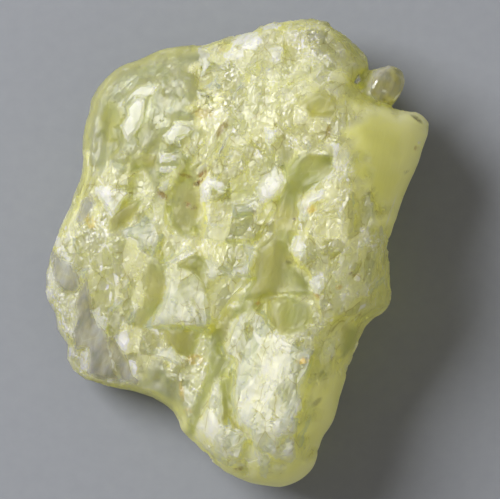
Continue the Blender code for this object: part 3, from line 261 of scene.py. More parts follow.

# The whitest frosted plates, white partly by real frost and partly by painted glare
BRIGHT = [
    [(-9.55, 12.4), (-8.7, 13.3), (-7.9, 13.3), (-7.9, 11.8), (-8.35, 10.6), (-8.95, 10.07),
     (-9.4, 9.4), (-9.7, 10.1), (-10.15, 10.9), (-9.4, 11.8)],
    [(-10.06, 12.6), (-9.55, 13.5), (-8.5, 14.4), (-7.5, 14.6), (-6.8, 14.2), (-7.15, 13.5),
     (-7.75, 13.4), (-8.7, 13.3), (-9.5, 12.5)],
    [(-12.3, 5.6), (-11.35, 5.8), (-10.7, 5.4), (-9.55, 5.6), (-9.03, 5.1), (-9.55, 4.6),
     (-10.06, 3.75), (-10.75, 3.0), (-11.26, 3.75), (-11.8, 4.6)],
    [(-6.3, 10.07), (-5.6, 10.76), (-5.27, 11.3), (-4.07, 10.95), (-3.6, 10.5), (-4.07, 9.9),
     (-5.1, 9.7), (-4.67, 9.0), (-6.1, 9.4)],
    [(-6.6, 8.5), (-5.1, 8.4), (-5.2, 7.85), (-6.6, 7.67)],
    [(-6.6, 7.35), (-5.1, 7.35), (-5.8, 6.8), (-6.6, 6.85)],
    [(-3.4, 17.65), (-2.5, 17.65), (-2.3, 16.1), (-2.87, 15.2), (-3.35, 14.9), (-3.0, 15.6),
     (-3.2, 16.6)],
    [(-3.4, 13.8), (-2.0, 13.4), (-2.05, 13.25), (-3.3, 13.5)],
    [(-3.3, 13.35), (-2.2, 13.1), (-2.1, 12.95), (-3.2, 13.1)],
    [(-3.2, 5.6), (-2.6, 6.5), (-1.84, 6.6), (-1.7, 6.1), (-1.0, 5.9), (-0.6, 5.5), (-1.3, 5.2),
     (-2.0, 5.5), (-2.4, 4.4), (-3.04, 4.3)],
    [(1.6, 5.5), (2.1, 6.5), (3.2, 7.4), (3.9, 6.6), (4.2, 5.9), (3.4, 4.6), (2.3, 4.2),
     (1.7, 4.8)],
    [(2.3, 10.6), (3.36, 10.5), (3.36, 9.5), (2.7, 9.0), (2.3, 9.5)],
    [(5.1, 4.07), (5.46, 4.76), (6.14, 5.2), (7.3, 5.3), (7.5, 4.76), (6.3, 4.07), (6.14, 3.4),
     (5.6, 2.7), (5.1, 2.9)],
    [(7.85, 9.2), (8.4, 9.4), (8.6, 8.7), (8.3, 8.0), (8.4, 7.2), (8.1, 6.6), (7.2, 6.0),
     (6.2, 5.3), (5.6, 4.9), (6.0, 5.5), (7.2, 6.3), (7.9, 7.0), (8.0, 8.3)],
    [(4.4, 0.3), (4.77, 1.5), (5.3, 1.4), (5.8, 0.5), (5.4, -0.2), (4.6, -0.1)],
    [(6.05, -2.4), (6.5, -1.8), (7.2, -1.9), (7.4, -2.9), (6.8, -3.6), (6.2, -2.9)],
    [(-0.6, 17.4), (-0.39, 18.5), (0.47, 19.0), (1.65, 18.9), (2.1, 18.1), (1.65, 17.2),
     (0.47, 17.4), (0.58, 16.6), (-0.5, 16.4), (-1.4, 16.8)],
    [(2.0, 19.3), (3.25, 19.8), (3.8, 19.4), (3.3, 19.1), (2.2, 19.0)],
    [(2.3, 17.2), (4.0, 17.6), (4.0, 16.1), (3.25, 15.8), (2.7, 16.4)],
    [(-15.8, 1.7), (-15.26, 1.3), (-14.9, 0.5), (-14.2, -0.54), (-14.5, -0.7), (-15.3, 0.0),
     (-15.8, 0.8)],
    [(-12.6, -4.9), (-11.8, -4.65), (-11.7, -5.25), (-11.07, -5.5), (-11.15, -6.36),
     (-11.6, -6.6), (-12.0, -6.1)],
    [(-10.55, -7.04), (-9.44, -6.5), (-9.27, -7.4), (-9.5, -8.3), (-9.96, -8.2)],
    [(-9.36, -9.1), (-8.67, -9.27), (-8.6, -10.5), (-8.9, -10.6), (-9.2, -9.9)],
    [(-14.66, -8.1), (-14.07, -8.0), (-13.55, -9.0), (-14.6, -8.9)],
    [(-13.47, -8.6), (-12.8, -8.1), (-12.8, -8.7), (-13.1, -9.0), (-12.95, -9.95),
     (-13.5, -10.0)],
]

# All frosted plates with crisp borders, white partly by real frost and partly by painted glare
FROST_AND_GLARE = BRIGHT + [
    [(-11.0, 8.2), (-10.2, 7.6), (-9.4, 7.3), (-9.5, 7.1), (-10.3, 7.3), (-10.8, 7.6)],
    [(-5.35, 11.45), (-3.55, 11.0), (-3.5, 10.85), (-5.3, 11.3)],
    [(-6.8, 5.6), (-5.8, 6.3), (-5.8, 5.45), (-6.7, 5.1)],
    [(-6.15, 12.3), (-5.5, 12.45), (-5.4, 12.1), (-6.0, 11.95)],
    [(-5.6, 14.6), (-4.9, 15.2), (-5.0, 14.7), (-5.4, 14.3)],
    [(-6.55, 14.4), (-6.3, 15.0), (-6.2, 14.0)],
    [(-9.9, 15.8), (-9.2, 16.0), (-9.4, 15.6)],
    [(-10.75, 13.4), (-10.2, 14.6), (-10.15, 14.1), (-10.6, 13.2)],
    [(-3.0, 14.2), (-2.1, 14.6), (-1.75, 15.3), (-1.45, 14.1), (-2.36, 13.9)],
    [(-0.6, 13.6), (0.69, 14.9), (0.58, 14.2), (-0.17, 13.4), (-0.28, 12.7)],
    [(-4.15, 8.8), (-3.56, 9.2), (-3.3, 8.4), (-3.9, 8.2)],
    [(-0.6, 10.4), (-0.9, 9.3), (-1.5, 8.4), (-2.1, 8.0), (-1.7, 8.7), (-1.2, 9.8)],
    [(-2.0, 8.55), (-0.5, 8.2), (-0.6, 8.0), (-2.1, 8.2)],
    [(-0.5, 4.2), (0.4, 4.3), (1.6, 4.9), (2.2, 4.1), (1.9, 3.3), (1.5, 2.6), (1.1, 3.2),
     (-0.3, 3.1)],
    [(-2.9, 2.6), (-1.5, 2.7), (-1.0, 2.2), (-2.2, 2.2)],
    [(-9.96, 2.0), (-8.4, 2.5), (-7.9, 3.2), (-6.87, 2.7), (-6.36, 1.5), (-6.5, 0.5),
     (-7.2, -0.3), (-7.7, 0.3), (-8.6, 0.3), (-8.5, 1.3), (-9.8, 1.5)],
    [(5.65, 9.2), (6.0, 9.4), (6.1, 8.9), (5.8, 8.7)],
    [(-0.5, -1.3), (0.4, -0.8), (1.0, -0.2), (0.4, 0.4), (0.6, 1.0), (1.4, 0.6), (1.3, -0.6),
     (1.2, -2.1), (0.2, -2.1), (-0.3, -1.7)],
    [(-6.05, -1.5), (-5.1, -1.15), (-3.7, -1.6), (-3.0, -2.6), (-2.55, -4.1), (-2.2, -5.5),
     (-2.4, -6.5), (-2.9, -6.8), (-4.1, -6.45), (-6.5, -6.5), (-8.15, -6.4), (-7.2, -5.25),
     (-6.36, -4.1), (-6.0, -2.8)],
    [(-6.45, -0.6), (-5.4, 0.0), (-4.1, 0.62), (-3.4, 0.2), (-4.4, -0.38), (-5.8, -1.25)],
    [(-2.7, -0.4), (-1.6, -0.9), (-0.5, -1.3), (-0.3, -1.7), (0.2, -2.1), (-1.0, -2.1),
     (-2.3, -2.4), (-2.4, -1.4)],
    [(-8.2, -7.3), (-7.6, -8.4), (-6.9, -8.2), (-5.6, -7.9), (-5.2, -8.6), (-4.2, -8.9),
     (-4.8, -9.6), (-6.5, -9.0), (-7.8, -8.7)],
    [(-0.7, -6.4), (-0.3, -5.5), (0.38, -5.3), (0.9, -5.0), (0.85, -6.2), (0.9, -7.1),
     (1.05, -6.0), (1.15, -5.0), (1.35, -4.6), (2.35, -5.0), (2.7, -5.9), (3.55, -6.8),
     (4.4, -7.25), (5.1, -7.7), (6.4, -8.1), (6.4, -8.8), (6.2, -9.65), (5.78, -10.5),
     (5.1, -11.2), (5.35, -12.1), (5.4, -13.2), (4.75, -13.4), (5.1, -14.1), (5.1, -15.0),
     (4.3, -15.4), (4.9, -16.0), (5.0, -17.3), (4.2, -17.5), (3.04, -17.2), (2.4, -16.4),
     (2.8, -17.2), (2.5, -19.0), (2.0, -18.9), (1.7, -17.2), (1.41, -16.84), (1.07, -15.1),
     (0.13, -14.3), (-0.4, -13.2), (-0.52, -11.7), (-0.4, -10.3), (-0.64, -9.7), (-0.3, -9.1),
     (-1.2, -8.6), (-1.5, -7.9), (-1.0, -7.5)],
    [(6.25, -13.7), (6.0, -14.6), (5.6, -15.2), (5.6, -16.3), (5.15, -16.6), (5.25, -15.2),
     (5.7, -14.4)],
    [(-1.93, -10.85), (-1.5, -11.1), (-1.33, -12.7), (-1.24, -14.35), (-0.8, -14.5),
     (-0.73, -13.9), (-0.39, -14.8), (0.47, -14.87), (0.8, -15.5), (0.38, -17.36), (-0.56, -18.0),
     (-1.59, -17.7), (-2.78, -16.67), (-3.64, -15.64), (-3.47, -14.8), (-2.96, -13.4),
     (-2.44, -12.05)],
    [(9.0, 8.6), (9.4, 8.4), (9.4, 7.9), (9.1, 8.0)],
    [(8.9, 6.5), (9.3, 6.8), (9.3, 6.4), (9.0, 6.2)],
    [(9.6, 5.2), (9.8, 5.1), (9.8, 3.8), (9.6, 3.9)],
    [(8.3, 3.4), (8.6, 3.3), (9.0, 2.5), (8.8, 2.5)],
    [(8.6, -3.5), (9.0, -3.4), (9.1, -3.9), (8.8, -3.9)],
    [(10.25, 0.8), (11.1, 1.5), (11.2, 1.0), (10.4, 0.3)],
    [(11.8, -2.4), (12.5, -1.75), (12.5, -2.2), (11.3, -3.3), (11.1, -3.1)],
    [(2.3, 15.8), (2.95, 15.9), (2.8, 15.3), (2.3, 15.4)],
    [(-14.2, 1.6), (-13.8, 0.9), (-13.5, -0.1), (-13.8, 0.06), (-14.15, 0.9)],
    [(-13.8, -1.4), (-12.8, -1.3), (-13.2, -2.25), (-13.5, -1.9)],
    [(-16.55, -1.3), (-16.0, -1.2), (-15.7, -2.3), (-16.2, -2.8), (-16.6, -2.4)],
    [(-16.5, -3.6), (-15.8, -3.0), (-15.7, -3.3), (-16.2, -4.0)],
    [(-11.1, -4.75), (-9.96, -3.85), (-9.7, -4.0), (-9.8, -4.5), (-11.0, -5.05)],
    [(-10.1, -2.3), (-9.3, -2.1), (-9.0, -2.6), (-9.7, -3.3)],
    [(-8.76, -4.3), (-8.5, -4.3), (-8.67, -5.5), (-9.1, -6.3), (-9.44, -5.95)],
    [(-11.3, -6.9), (-11.1, -7.8), (-10.65, -9.1), (-10.1, -10.8), (-10.25, -10.8), (-10.8, -9.1),
     (-11.2, -7.8)],
]

# Warm beige ground of the right mass
BEIGE = [
    [(5.3, 4.8), (7.5, 5.3), (9.8, 6.2), (10.6, 4.0), (10.4, 1.4), (8.8, 0.4), (7.6, -0.6),
     (7.0, 0.2), (6.0, 1.2), (5.5, 2.2)],
    [(-3.9, 1.3), (-3.2, 1.2), (-2.9, 0.6), (-3.5, 0.1), (-4.1, 0.5)],
]

# Clear windows, where the stone shows what is under it
CLEAR = [
    [(-15.9, 0.4), (-15.1, -0.54), (-14.2, -0.9), (-13.6, -2.0), (-13.5, -2.8), (-13.9, -3.4),
     (-15.0, -3.2), (-15.8, -2.2), (-16.0, -0.5)],
    [(-13.4, -2.9), (-12.95, -2.0), (-12.5, -4.65), (-12.35, -5.5), (-11.5, -6.5), (-11.1, -7.2),
     (-10.6, -7.1), (-9.96, -8.24), (-9.4, -9.1), (-9.0, -10.5), (-8.5, -10.9), (-8.6, -11.2),
     (-10.1, -10.9), (-11.8, -10.8), (-12.9, -10.3), (-12.8, -8.2), (-13.9, -8.1), (-14.1, -7.0),
     (-13.7, -5.7), (-13.9, -4.3)],
    [(-13.3, 4.6), (-12.5, 5.0), (-12.2, 4.2), (-12.9, 2.9), (-13.4, 2.3), (-13.8, 2.8)],
]

# The small clear crystal on the edge
NUB = [
    [(11.3, 13.6), (11.6, 15.4), (13.4, 17.0), (15.6, 15.2), (13.6, 12.5), (11.9, 12.9)],
]

# Ground of fine sugary grains
FINE = [
    [(4.4, 19.6), (7.0, 19.6), (7.0, 17.8), (6.4, 17.0), (4.2, 17.6)],
    [(-2.2, 13.0), (-0.8, 13.4), (0.0, 12.2), (-1.2, 11.0), (-3.2, 10.4), (-3.6, 11.4)],
    [(-1.4, 16.2), (-0.2, 16.2), (0.6, 15.2), (-0.8, 14.0), (-1.6, 15.2)],
    [(4.0, 10.0), (6.2, 9.6), (5.8, 8.6), (4.0, 8.8)],
    [(-16.4, 1.0), (-15.8, 0.0), (-16.0, -2.2), (-15.0, -3.4), (-14.0, -4.6), (-13.9, -7.0),
     (-15.6, -7.4), (-16.8, -3.0)],
    [(11.0, 1.8), (12.8, 1.6), (12.8, -0.2), (10.8, 0.2)],
    [(-12.2, 3.8), (-11.2, 3.4), (-10.8, 1.8), (-12.6, 0.8), (-12.8, 2.4)],
    [(8.4, 7.6), (9.8, 7.6), (9.6, 5.8), (8.0, 5.8)],
    [(-4.6, -8.6), (-3.2, -8.4), (-2.4, -9.4), (-3.4, -10.0), (-4.6, -9.4)],
]

# Iron stains: x, y, half length, half width, turn in degrees, strength, brown share
STAINS = [
    (-12.5, 2.7, 0.70, 0.45, -60.0, 0.6, 0.0), (-1.35, 10.5, 0.95, 0.26, 55.0, 0.7, 0.8),
    (-3.0, 6.5, 0.70, 0.30, 60.0, 1.0, 0.7), (-3.4, 5.9, 0.26, 0.22, 0.0, 1.0, 1.0),
    (-4.0, 4.05, 0.60, 0.22, -20.0, 0.95, 0.8), (-6.4, 5.0, 0.60, 0.26, -40.0, 0.85, 0.8),
    (6.2, 3.7, 0.45, 0.36, 30.0, 0.6, 0.1), (5.5, -9.0, 0.60, 0.26, 10.0, 1.0, 0.1),
    (-0.1, -18.35, 0.60, 0.22, 20.0, 0.7, 0.8), (8.5, -2.8, 0.28, 0.24, 0.0, 0.6, 0.2),
    (9.6, -1.7, 0.28, 0.16, 0.0, 0.9, 0.9), (6.8, -3.6, 0.38, 0.18, -30.0, 0.8, 0.4),
    (-4.75, -11.5, 1.10, 0.22, 97.0, 0.6, 0.1), (-3.6, -9.0, 0.70, 0.45, 0.0, 0.5, 0.0),
    (7.6, 10.2, 0.55, 0.24, 80.0, 0.6, 0.8), (4.8, 2.85, 0.18, 0.15, 0.0, 0.9, 1.0),
    (-1.3, 17.5, 0.50, 0.30, 60.0, 0.35, 0.3), (1.75, -4.2, 0.18, 0.16, 0.0, 0.7, 0.3),
    (-4.2, -13.4, 0.35, 0.28, 0.0, 0.6, 0.1), (-2.8, 11.9, 0.90, 0.45, 0.0, 0.35, 0.3),
    (-4.4, 6.6, 0.60, 0.16, -15.0, 0.6, 0.8), (15.2, 8.9, 0.30, 0.20, 0.0, 0.6, 0.7),
]

# Painted highlights where light catches edges and the small crystal: x, y, half length, half
# width, turn in degrees, strength
PAINTED_GLINTS = [
    (13.75, 13.4, 0.60, 0.16, 42.0, 1.0), (12.5, 13.75, 0.20, 0.10, 0.0, 0.7),
    (13.8, 12.22, 0.75, 0.08, -3.0, 0.8), (15.95, 11.15, 0.75, 0.16, -52.0, 0.5),
    (15.95, 9.75, 0.85, 0.12, 62.0, 0.5), (15.4, 9.35, 0.14, 0.12, 0.0, 1.0),
    (12.9, 3.4, 1.6, 0.07, 70.0, 0.6), (10.45, 13.65, 0.45, 0.10, 45.0, 0.9),
    (-4.5, -0.35, 1.7, 0.07, 31.0, 0.7), (4.0, 12.2, 0.9, 0.06, 84.0, 0.7),
]

# Dark inclusions: x, y, half length, half width, turn in degrees, strength
DARKS = [
    (15.1, 11.55, 0.75, 0.20, -40.0, 0.9), (13.6, 11.85, 0.55, 0.12, 6.0, 0.5),
    (6.7, -12.5, 0.55, 0.22, 40.0, 0.35), (14.3, 6.9, 0.30, 0.08, 20.0, 0.5),
    (4.3, -0.75, 0.30, 0.12, 0.0, 0.5),
]

# Ground kept as a number on each point for the material: its outlines, the width of the soft
# border in millimetres, whether the border runs unevenly, whether only the upper side has it
GROUND = {
    "clear": (CLEAR, 0.4, False, False),
    # Flank and rim, pale partly by painted glow
    "satin": (OLIVE, 2.4, True, False),
    # Plates, partly real frost and partly painted glare
    "frost": (FROST_AND_GLARE, 0.55, False, True),
    "bright": (BRIGHT, 0.55, False, True),
    # Sunk bands, darker partly by painted shade
    "deep": (DEEP, 0.7, False, True),
    "fine": (FINE, 0.8, False, True),
    "beige": (BEIGE, 1.2, False, True),
    "quiet": (QUIET, 1.0, True, True),
}
MARKS = (*GROUND, "edge", "nub", "gleam", "stain", "brown", "dark")


def smoothstep(value):
    """Ease from 0 to 1 over the range 0 to 1."""
    value = np.clip(value, 0.0, 1.0)
    return value * value * (3.0 - 2.0 * value)


def above(height, start, run):
    """Ease from 0 to 1 as the height passes the start, both in millimetres."""
    return smoothstep((height - start) / run)


def depth_inside(polygon, x, y):
    """Distance of each point from the border of a polygon, positive inside it."""
    nearest = np.full(x.shape, 1.0e9)
    inside = np.zeros(x.shape, dtype=bool)
    for (ax, ay), (bx, by) in zip(polygon, polygon[1:] + polygon[:1]):
        ex = bx - ax
        ey = by - ay
        along = np.clip(((x - ax) * ex + (y - ay) * ey) / (ex * ex + ey * ey), 0.0, 1.0)
        nearest = np.minimum(nearest, np.hypot(x - ax - along * ex, y - ay - along * ey))
        if ey != 0.0:
            crosses = (ay > y) != (by > y)
            inside ^= crosses & (x < ax + (y - ay) * ex / ey)
    return np.where(inside, nearest, -nearest)


def near_outline(outline, x, y, margin):
    """Which points lie in the box round an outline, widened by a margin."""
    across = [corner[0] for corner in outline]
    along = [corner[1] for corner in outline]
    return np.flatnonzero((x > min(across) - margin) & (x < max(across) + margin)
                          & (y > min(along) - margin) & (y < max(along) + margin))


def share_inside(outlines, x, y, width):
    """How far each point lies in any of the outlines: 0 outside, 1 inside, soft between."""
    share = np.zeros(x.shape)
    for outline in outlines:
        here = near_outline(outline, x, y, width)
        depth = depth_inside(outline, x[here], y[here])
        share[here] = np.maximum(share[here], smoothstep(0.5 + depth / width))
    return share


def plan(places):
    """Plan position in millimetres of points in the stone's own metres."""
    return places[:, 0] / MM - PLAN_SHIFT[0], places[:, 1] / MM - PLAN_SHIFT[1]


def mesh_arrays(mesh):
    """Positions and normals of a mesh's points."""
    count = len(mesh.vertices)
    places = np.empty(count * 3)
    mesh.vertices.foreach_get("co", places)
    normals = np.empty(count * 3)
    mesh.vertex_normals.foreach_get("vector", normals)
    return places.reshape(-1, 3), normals.reshape(-1, 3)


def clean(mesh):
    """Close up tiny edges, and turn the longest edge of each thin triangle."""
    shape = bmesh.new()
    shape.from_mesh(mesh)
    bmesh.ops.remove_doubles(shape, verts=shape.verts, dist=1.0e-6)
    bmesh.ops.dissolve_degenerate(shape, edges=shape.edges, dist=EDGE_LEAST * MM)
    bmesh.ops.triangulate(shape, faces=[f for f in shape.faces if len(f.verts) > 3])
    for _ in range(THIN_ROUNDS):
        for face in list(shape.faces):
            if not face.is_valid:
                continue
            longest = max(face.edges, key=lambda edge: edge.calc_length())
            is_thin = face.calc_area() * 2.0 < THIN_SHARE * longest.calc_length() ** 2
            if is_thin and longest.calc_face_angle(math.pi) < math.radians(THIN_BEND):
                bmesh.utils.edge_rotate(longest)
    shape.to_mesh(mesh)
    shape.free()
    mesh.update()


def longest_allowed(middle, length):
    """Longest edge allowed at each place: short at plate borders and on fine ground."""
    x, y = plan(middle)
    fine = share_inside(FINE, x, y, 0.3) > 0.5
    border = np.zeros(len(middle), dtype=bool)
    for outline in FROST_AND_GLARE:
        here = near_outline(outline, x, y, 1.0)
        away = np.abs(depth_inside(outline, x[here], y[here]))
        border[here] |= away < BORDER_WIDTH + 0.4 * length[here]
    limit = np.where(fine, EDGE_FINE, EDGE_TOP)
    limit = np.where(border, EDGE_BORDER, limit)
    return np.where(middle[:, 2] / MM > SPLIT_FROM, limit, EDGE_UNDER)


def turned(rows, shift):
    """Rows of three numbers, each row turned round by its own shift."""
    return np.take_along_axis(rows, (np.arange(3)[None, :] + shift[:, None]) % 3, axis=1)


def split_long(points, triangles):
    """One round of splitting: each edge that is too long gets a point in its middle."""
    sides = np.concatenate([triangles[:, [0, 1]], triangles[:, [1, 2]], triangles[:, [2, 0]]])
    edges, which = np.unique(np.sort(sides, axis=1), axis=0, return_inverse=True)
    which = which.reshape(3, -1).T
    middle = points[edges].mean(axis=1)
    length = np.linalg.norm(points[edges[:, 0]] - points[edges[:, 1]], axis=1) / MM
    cut = length > longest_allowed(middle, length)
    number = np.full(len(edges), -1)
    number[cut] = len(points) + np.arange(cut.sum())
    points = np.concatenate([points, middle[cut]])
    halves = number[which]
    cuts = (halves >= 0).sum(axis=1)
    made = [triangles[cuts == 0]]

    one = cuts == 1
    shift = np.argmax(halves[one] >= 0, axis=1)
    a, b, c = turned(triangles[one], shift).T
    m = turned(halves[one], shift)[:, 0]
    made += [np.stack([a, m, c], axis=1), np.stack([m, b, c], axis=1)]

    two = cuts == 2
    shift = (np.argmax(halves[two] < 0, axis=1) + 1) % 3
    a, b, c = turned(triangles[two], shift).T
    m, n, _ = turned(halves[two], shift).T
    straight = (np.linalg.norm(points[a] - points[n], axis=1)
                < np.linalg.norm(points[m] - points[c], axis=1))
    made += [np.stack([m, b, n], axis=1),
             np.stack([a, m, np.where(straight, n, c)], axis=1),
             np.stack([np.where(straight, a, m), n, c], axis=1)]

    a, b, c = triangles[cuts == 3].T
    m, n, o = halves[cuts == 3].T
    made += [np.stack([a, m, o], axis=1), np.stack([m, b, n], axis=1),
             np.stack([o, n, c], axis=1), np.stack([m, n, o], axis=1)]
    return points, np.concatenate(made), bool(cut.any())


def refine(mesh):
    """Split long edges until there is room for small chips and for crisp plate borders."""
    clean(mesh)
    points, _ = mesh_arrays(mesh)
    triangles = corner_points(mesh).reshape(-1, 3)
    for _ in range(SPLIT_ROUNDS):
        points, triangles, again = split_long(points, triangles)
        if not again:
            break
    mesh.clear_geometry()
    mesh.from_pydata(points.tolist(), [], triangles.tolist())
    mesh.update()


def corner_points(mesh):
    """The point at each corner of each face."""
    corners = np.empty(len(mesh.loops), dtype=np.int64)
    mesh.loops.foreach_get("vertex_index", corners)
    return corners


def face_sizes(mesh):
    """Area of each face, in square millimetres."""
    sizes = np.empty(len(mesh.polygons))
    mesh.polygons.foreach_get("area", sizes)
    return sizes / MM ** 2


def point_means(mesh, values):
    """Mean over its faces of a value per face, for each point of a mesh of triangles."""
    corners = corner_points(mesh)
    total = np.bincount(corners, weights=np.repeat(values, 3), minlength=len(mesh.vertices))
    count = np.bincount(corners, minlength=len(mesh.vertices))
    return total / np.maximum(count, 1)


def squeezed(places, stretch):
    """Places pressed together along the grain, so that cells found on them come out long."""
    grain = np.array([math.cos(math.radians(GRAIN)), math.sin(math.radians(GRAIN)), 0.0])
    return places - np.outer(places @ grain, grain) * (1.0 - 1.0 / stretch)


def chip_surface(mesh, frost, seed, spacing, fine_spacing, tilt, fine_tilt, lift, limit,
                 stretch):
    """Cut breaks into the rough ground: each point drops to the lowest break plane."""
    randoms = np.random.RandomState(seed)
    places, normals = mesh_arrays(mesh)
    places = places / MM
    x, y = plan(places * MM)
    calm = np.maximum(share_inside(SMOOTH, *wander(x, y), BREAK_FADE["smooth"]),
                      share_inside(CLEAR + DEEP, x, y, BREAK_FADE["sunk"]))
    quiet = share_inside(QUIET, *wander(x, y), BREAK_FADE["quiet"])
    calm = np.maximum(calm, BREAK_HOLD["quiet"] * quiet)
    fine = share_inside(FINE, x, y, BREAK_FADE["fine"])
    upper = above(places[:, 2], *BROKEN_FROM)

    room = point_means(mesh, face_sizes(mesh)) * 2.0
    apart = spacing + (fine_spacing - spacing) * fine
    chance = room / (apart * randoms.uniform(*CHIP_SPREAD, len(places))) ** 2
    centres = np.flatnonzero(randoms.rand(len(places)) < chance)
    pressed = squeezed(places, stretch)
    tree = kdtree.KDTree(len(centres))
    for number, index in enumerate(centres):
        tree.insert(Vector(pressed[index]), number)
    tree.balance()
    near = np.array([[hit[1] for hit in tree.find_n(Vector(place), CHIP_PLANES)]
                     for place in pressed])

    tilt = tilt + (fine_tilt - tilt) * fine[centres]
    normals = eased(mesh, normals, EASE_ROUNDS)
    normals /= np.linalg.norm(normals, axis=1)[:, None]
    faces = normals[centres] + randoms.normal(0.0, 1.0, (len(centres), 3)) * tilt[:, None]
    faces /= np.linalg.norm(faces, axis=1)[:, None]
    lifts = randoms.uniform(*lift, len(centres))
    middles = places[centres] + normals[centres] * lifts[:, None]
    lowest = np.full(len(places), limit)
    for rank in range(CHIP_PLANES):
        cell = near[:, rank]
        lean = np.maximum(np.sum(normals * faces[cell], axis=1), 0.5)
        shift = np.sum((middles[cell] - places) * faces[cell], axis=1) / lean
        lowest = np.minimum(lowest, shift)
    shift = np.maximum(lowest, -limit) * (1.0 - calm) * upper
    shift *= 1.0 - BREAK_HOLD["plates"] * frost
    places = places + normals * shift[:, None]
    mesh.vertices.foreach_set("co", (places * MM).ravel())
    mesh.update()


def eased(mesh, values, rounds, strength=0.5):
    """Values per point, each drawn towards the mean of its neighbours, over and over."""
    ends = np.empty(len(mesh.edges) * 2, dtype=np.int64)
    mesh.edges.foreach_get("vertices", ends)
    first, second = ends.reshape(-1, 2).T
    count = np.bincount(first, minlength=len(values))
    count += np.bincount(second, minlength=len(values))
    share = np.broadcast_to(strength, len(values))[:, None]
    for _ in range(rounds):
        mean = np.zeros(values.shape)
        for axis in range(values.shape[1]):
            mean[:, axis] += np.bincount(first, values[second, axis], len(values))
            mean[:, axis] += np.bincount(second, values[first, axis], len(values))
        mean /= np.maximum(count, 1)[:, None]
        values = values + (mean - values) * share
    return values


def relax(mesh, rounds, strength):
    """Round off the smooth ground by easing its points towards their neighbours."""
    places, _ = mesh_arrays(mesh)
    mesh.vertices.foreach_set("co", eased(mesh, places, rounds, strength).ravel())
    mesh.update()


def ease_folds(mesh):
    """Ease the points round faces that have turned over, until the surface lies open."""
    for _ in range(FOLD_ROUNDS):
        places, normals = mesh_arrays(mesh)
        faces = np.empty(len(mesh.polygons) * 3)
        mesh.polygons.foreach_get("normal", faces)
        corners = corner_points(mesh)
        against = np.sum(np.repeat(faces.reshape(-1, 3), 3, axis=0) * normals[corners], axis=1)
        folded = np.zeros(len(places))
        folded[corners[against < 0.25]] = 1.0
        folded *= places[:, 2] > MM
        relax(mesh, 1, 0.8 * np.minimum(eased(mesh, folded[:, None], 2)[:, 0] * 3.0, 1.0))


def wander(x, y):
    """Plan places moved a little by slow waves, so that borders run unevenly."""
    across = 0.55 * np.sin(1.9 * y + 0.8 * x) + 0.35 * np.sin(3.7 * y - 1.3 * x + 1.0)
    along = 0.45 * np.sin(2.3 * x - 0.6 * y + 2.0) + 0.30 * np.sin(4.3 * x + 1.1 * y)
    return x + across, y + along


def keep(mesh, name, values):
    """Store one number per point, for the material to read."""
    layer = mesh.attributes.new(name, "FLOAT", "POINT")
    layer.data.foreach_set("value", np.clip(values, 0.0, 1.0))


def spots(marks, x, y):
    """Strength of the strongest oval mark over each point, and that mark's last value."""
    strength = np.zeros(len(x))
    kind = np.zeros(len(x))
    for mark in marks:
        turn = math.radians(mark[4])
        along = (x - mark[0]) * math.cos(turn) + (y - mark[1]) * math.sin(turn)
        across = (y - mark[1]) * math.cos(turn) - (x - mark[0]) * math.sin(turn)
        away = np.hypot(along / mark[2], across / mark[3])
        value = mark[5] * smoothstep(1.6 * (1.3 - away))
        kind = np.where(value > strength, mark[-1], kind)
        strength = np.maximum(strength, value)
    return strength, kind


def dress(node):
    """The stone's visible surface, made from the solid's own mesh."""
    mesh = node.data.copy()
    mesh.name = "heliodor_surface"
    stone = bpy.data.objects.new("heliodor_surface", mesh)
    bpy.context.scene.collection.objects.link(stone)
    stone.matrix_world = node.matrix_world.copy()
    mesh.materials.clear()
    for old in list(mesh.attributes):
        is_kept = old.name in ("sharp_face", "material_index")
        if not (is_kept or old.is_internal or old.is_required):
            mesh.attributes.remove(old)

    refine(mesh)

    places, _ = mesh_arrays(mesh)
    x, y = plan(places)
    calm = share_inside(SMOOTH, *wander(x, y), EASE_FADE["smooth"])
    deep = share_inside(DEEP, x, y, EASE_FADE["deep"])
    plates = share_inside(FROST_AND_GLARE, x, y, EASE_FADE["plates"])
    quiet = share_inside(QUIET, *wander(x, y), EASE_FADE["quiet"])
    calm = np.maximum(calm, EASE_SHARE["deep"] * deep)
    calm = np.maximum(calm, EASE_SHARE["quiet"] * quiet * (1.0 - plates))
    high = above(places[:, 2] / MM, *ROUNDED_FROM)
    relax(mesh, SMOOTH_ROUNDS, 0.5 * calm * high)
    for breaks in (FLAKES, CHIPS):
        chip_surface(mesh, plates, **breaks)
    ease_folds(mesh)

    places, _ = mesh_arrays(mesh)
    x, y = plan(places)
    upper = above(places[:, 2] / MM, *MARKED_FROM)
    stain, brown = spots(STAINS, x, y)
    dark, _ = spots(DARKS, x, y)
    gleam, _ = spots(PAINTED_GLINTS, x, y)
    steep = eased(mesh, mesh_arrays(mesh)[1], EASE_ROUNDS)
    steep /= np.linalg.norm(steep, axis=1)[:, None]
    facing_up = smoothstep((steep[:, 2] - 0.15) / 0.3)
    keep(mesh, "edge", smoothstep((0.86 - steep[:, 2]) / 0.5))
    for name, (outlines, width, is_uneven, is_upper) in GROUND.items():
        share = share_inside(outlines, *(wander(x, y) if is_uneven else (x, y)), width)
        keep(mesh, name, share * upper if is_upper else share)
    keep(mesh, "nub", share_inside(NUB, x, y, 0.4) * (places[:, 2] / MM < NUB_TOP))
    # Painted highlights, kept on the upward faces
    keep(mesh, "gleam", gleam * upper * facing_up)
    keep(mesh, "stain", stain * upper * facing_up)
    keep(mesh, "brown", brown)
    keep(mesh, "dark", dark * upper * facing_up)
    mesh.shade_smooth()
    mesh.set_sharp_from_angle(angle=math.radians(15.0))
    return stone


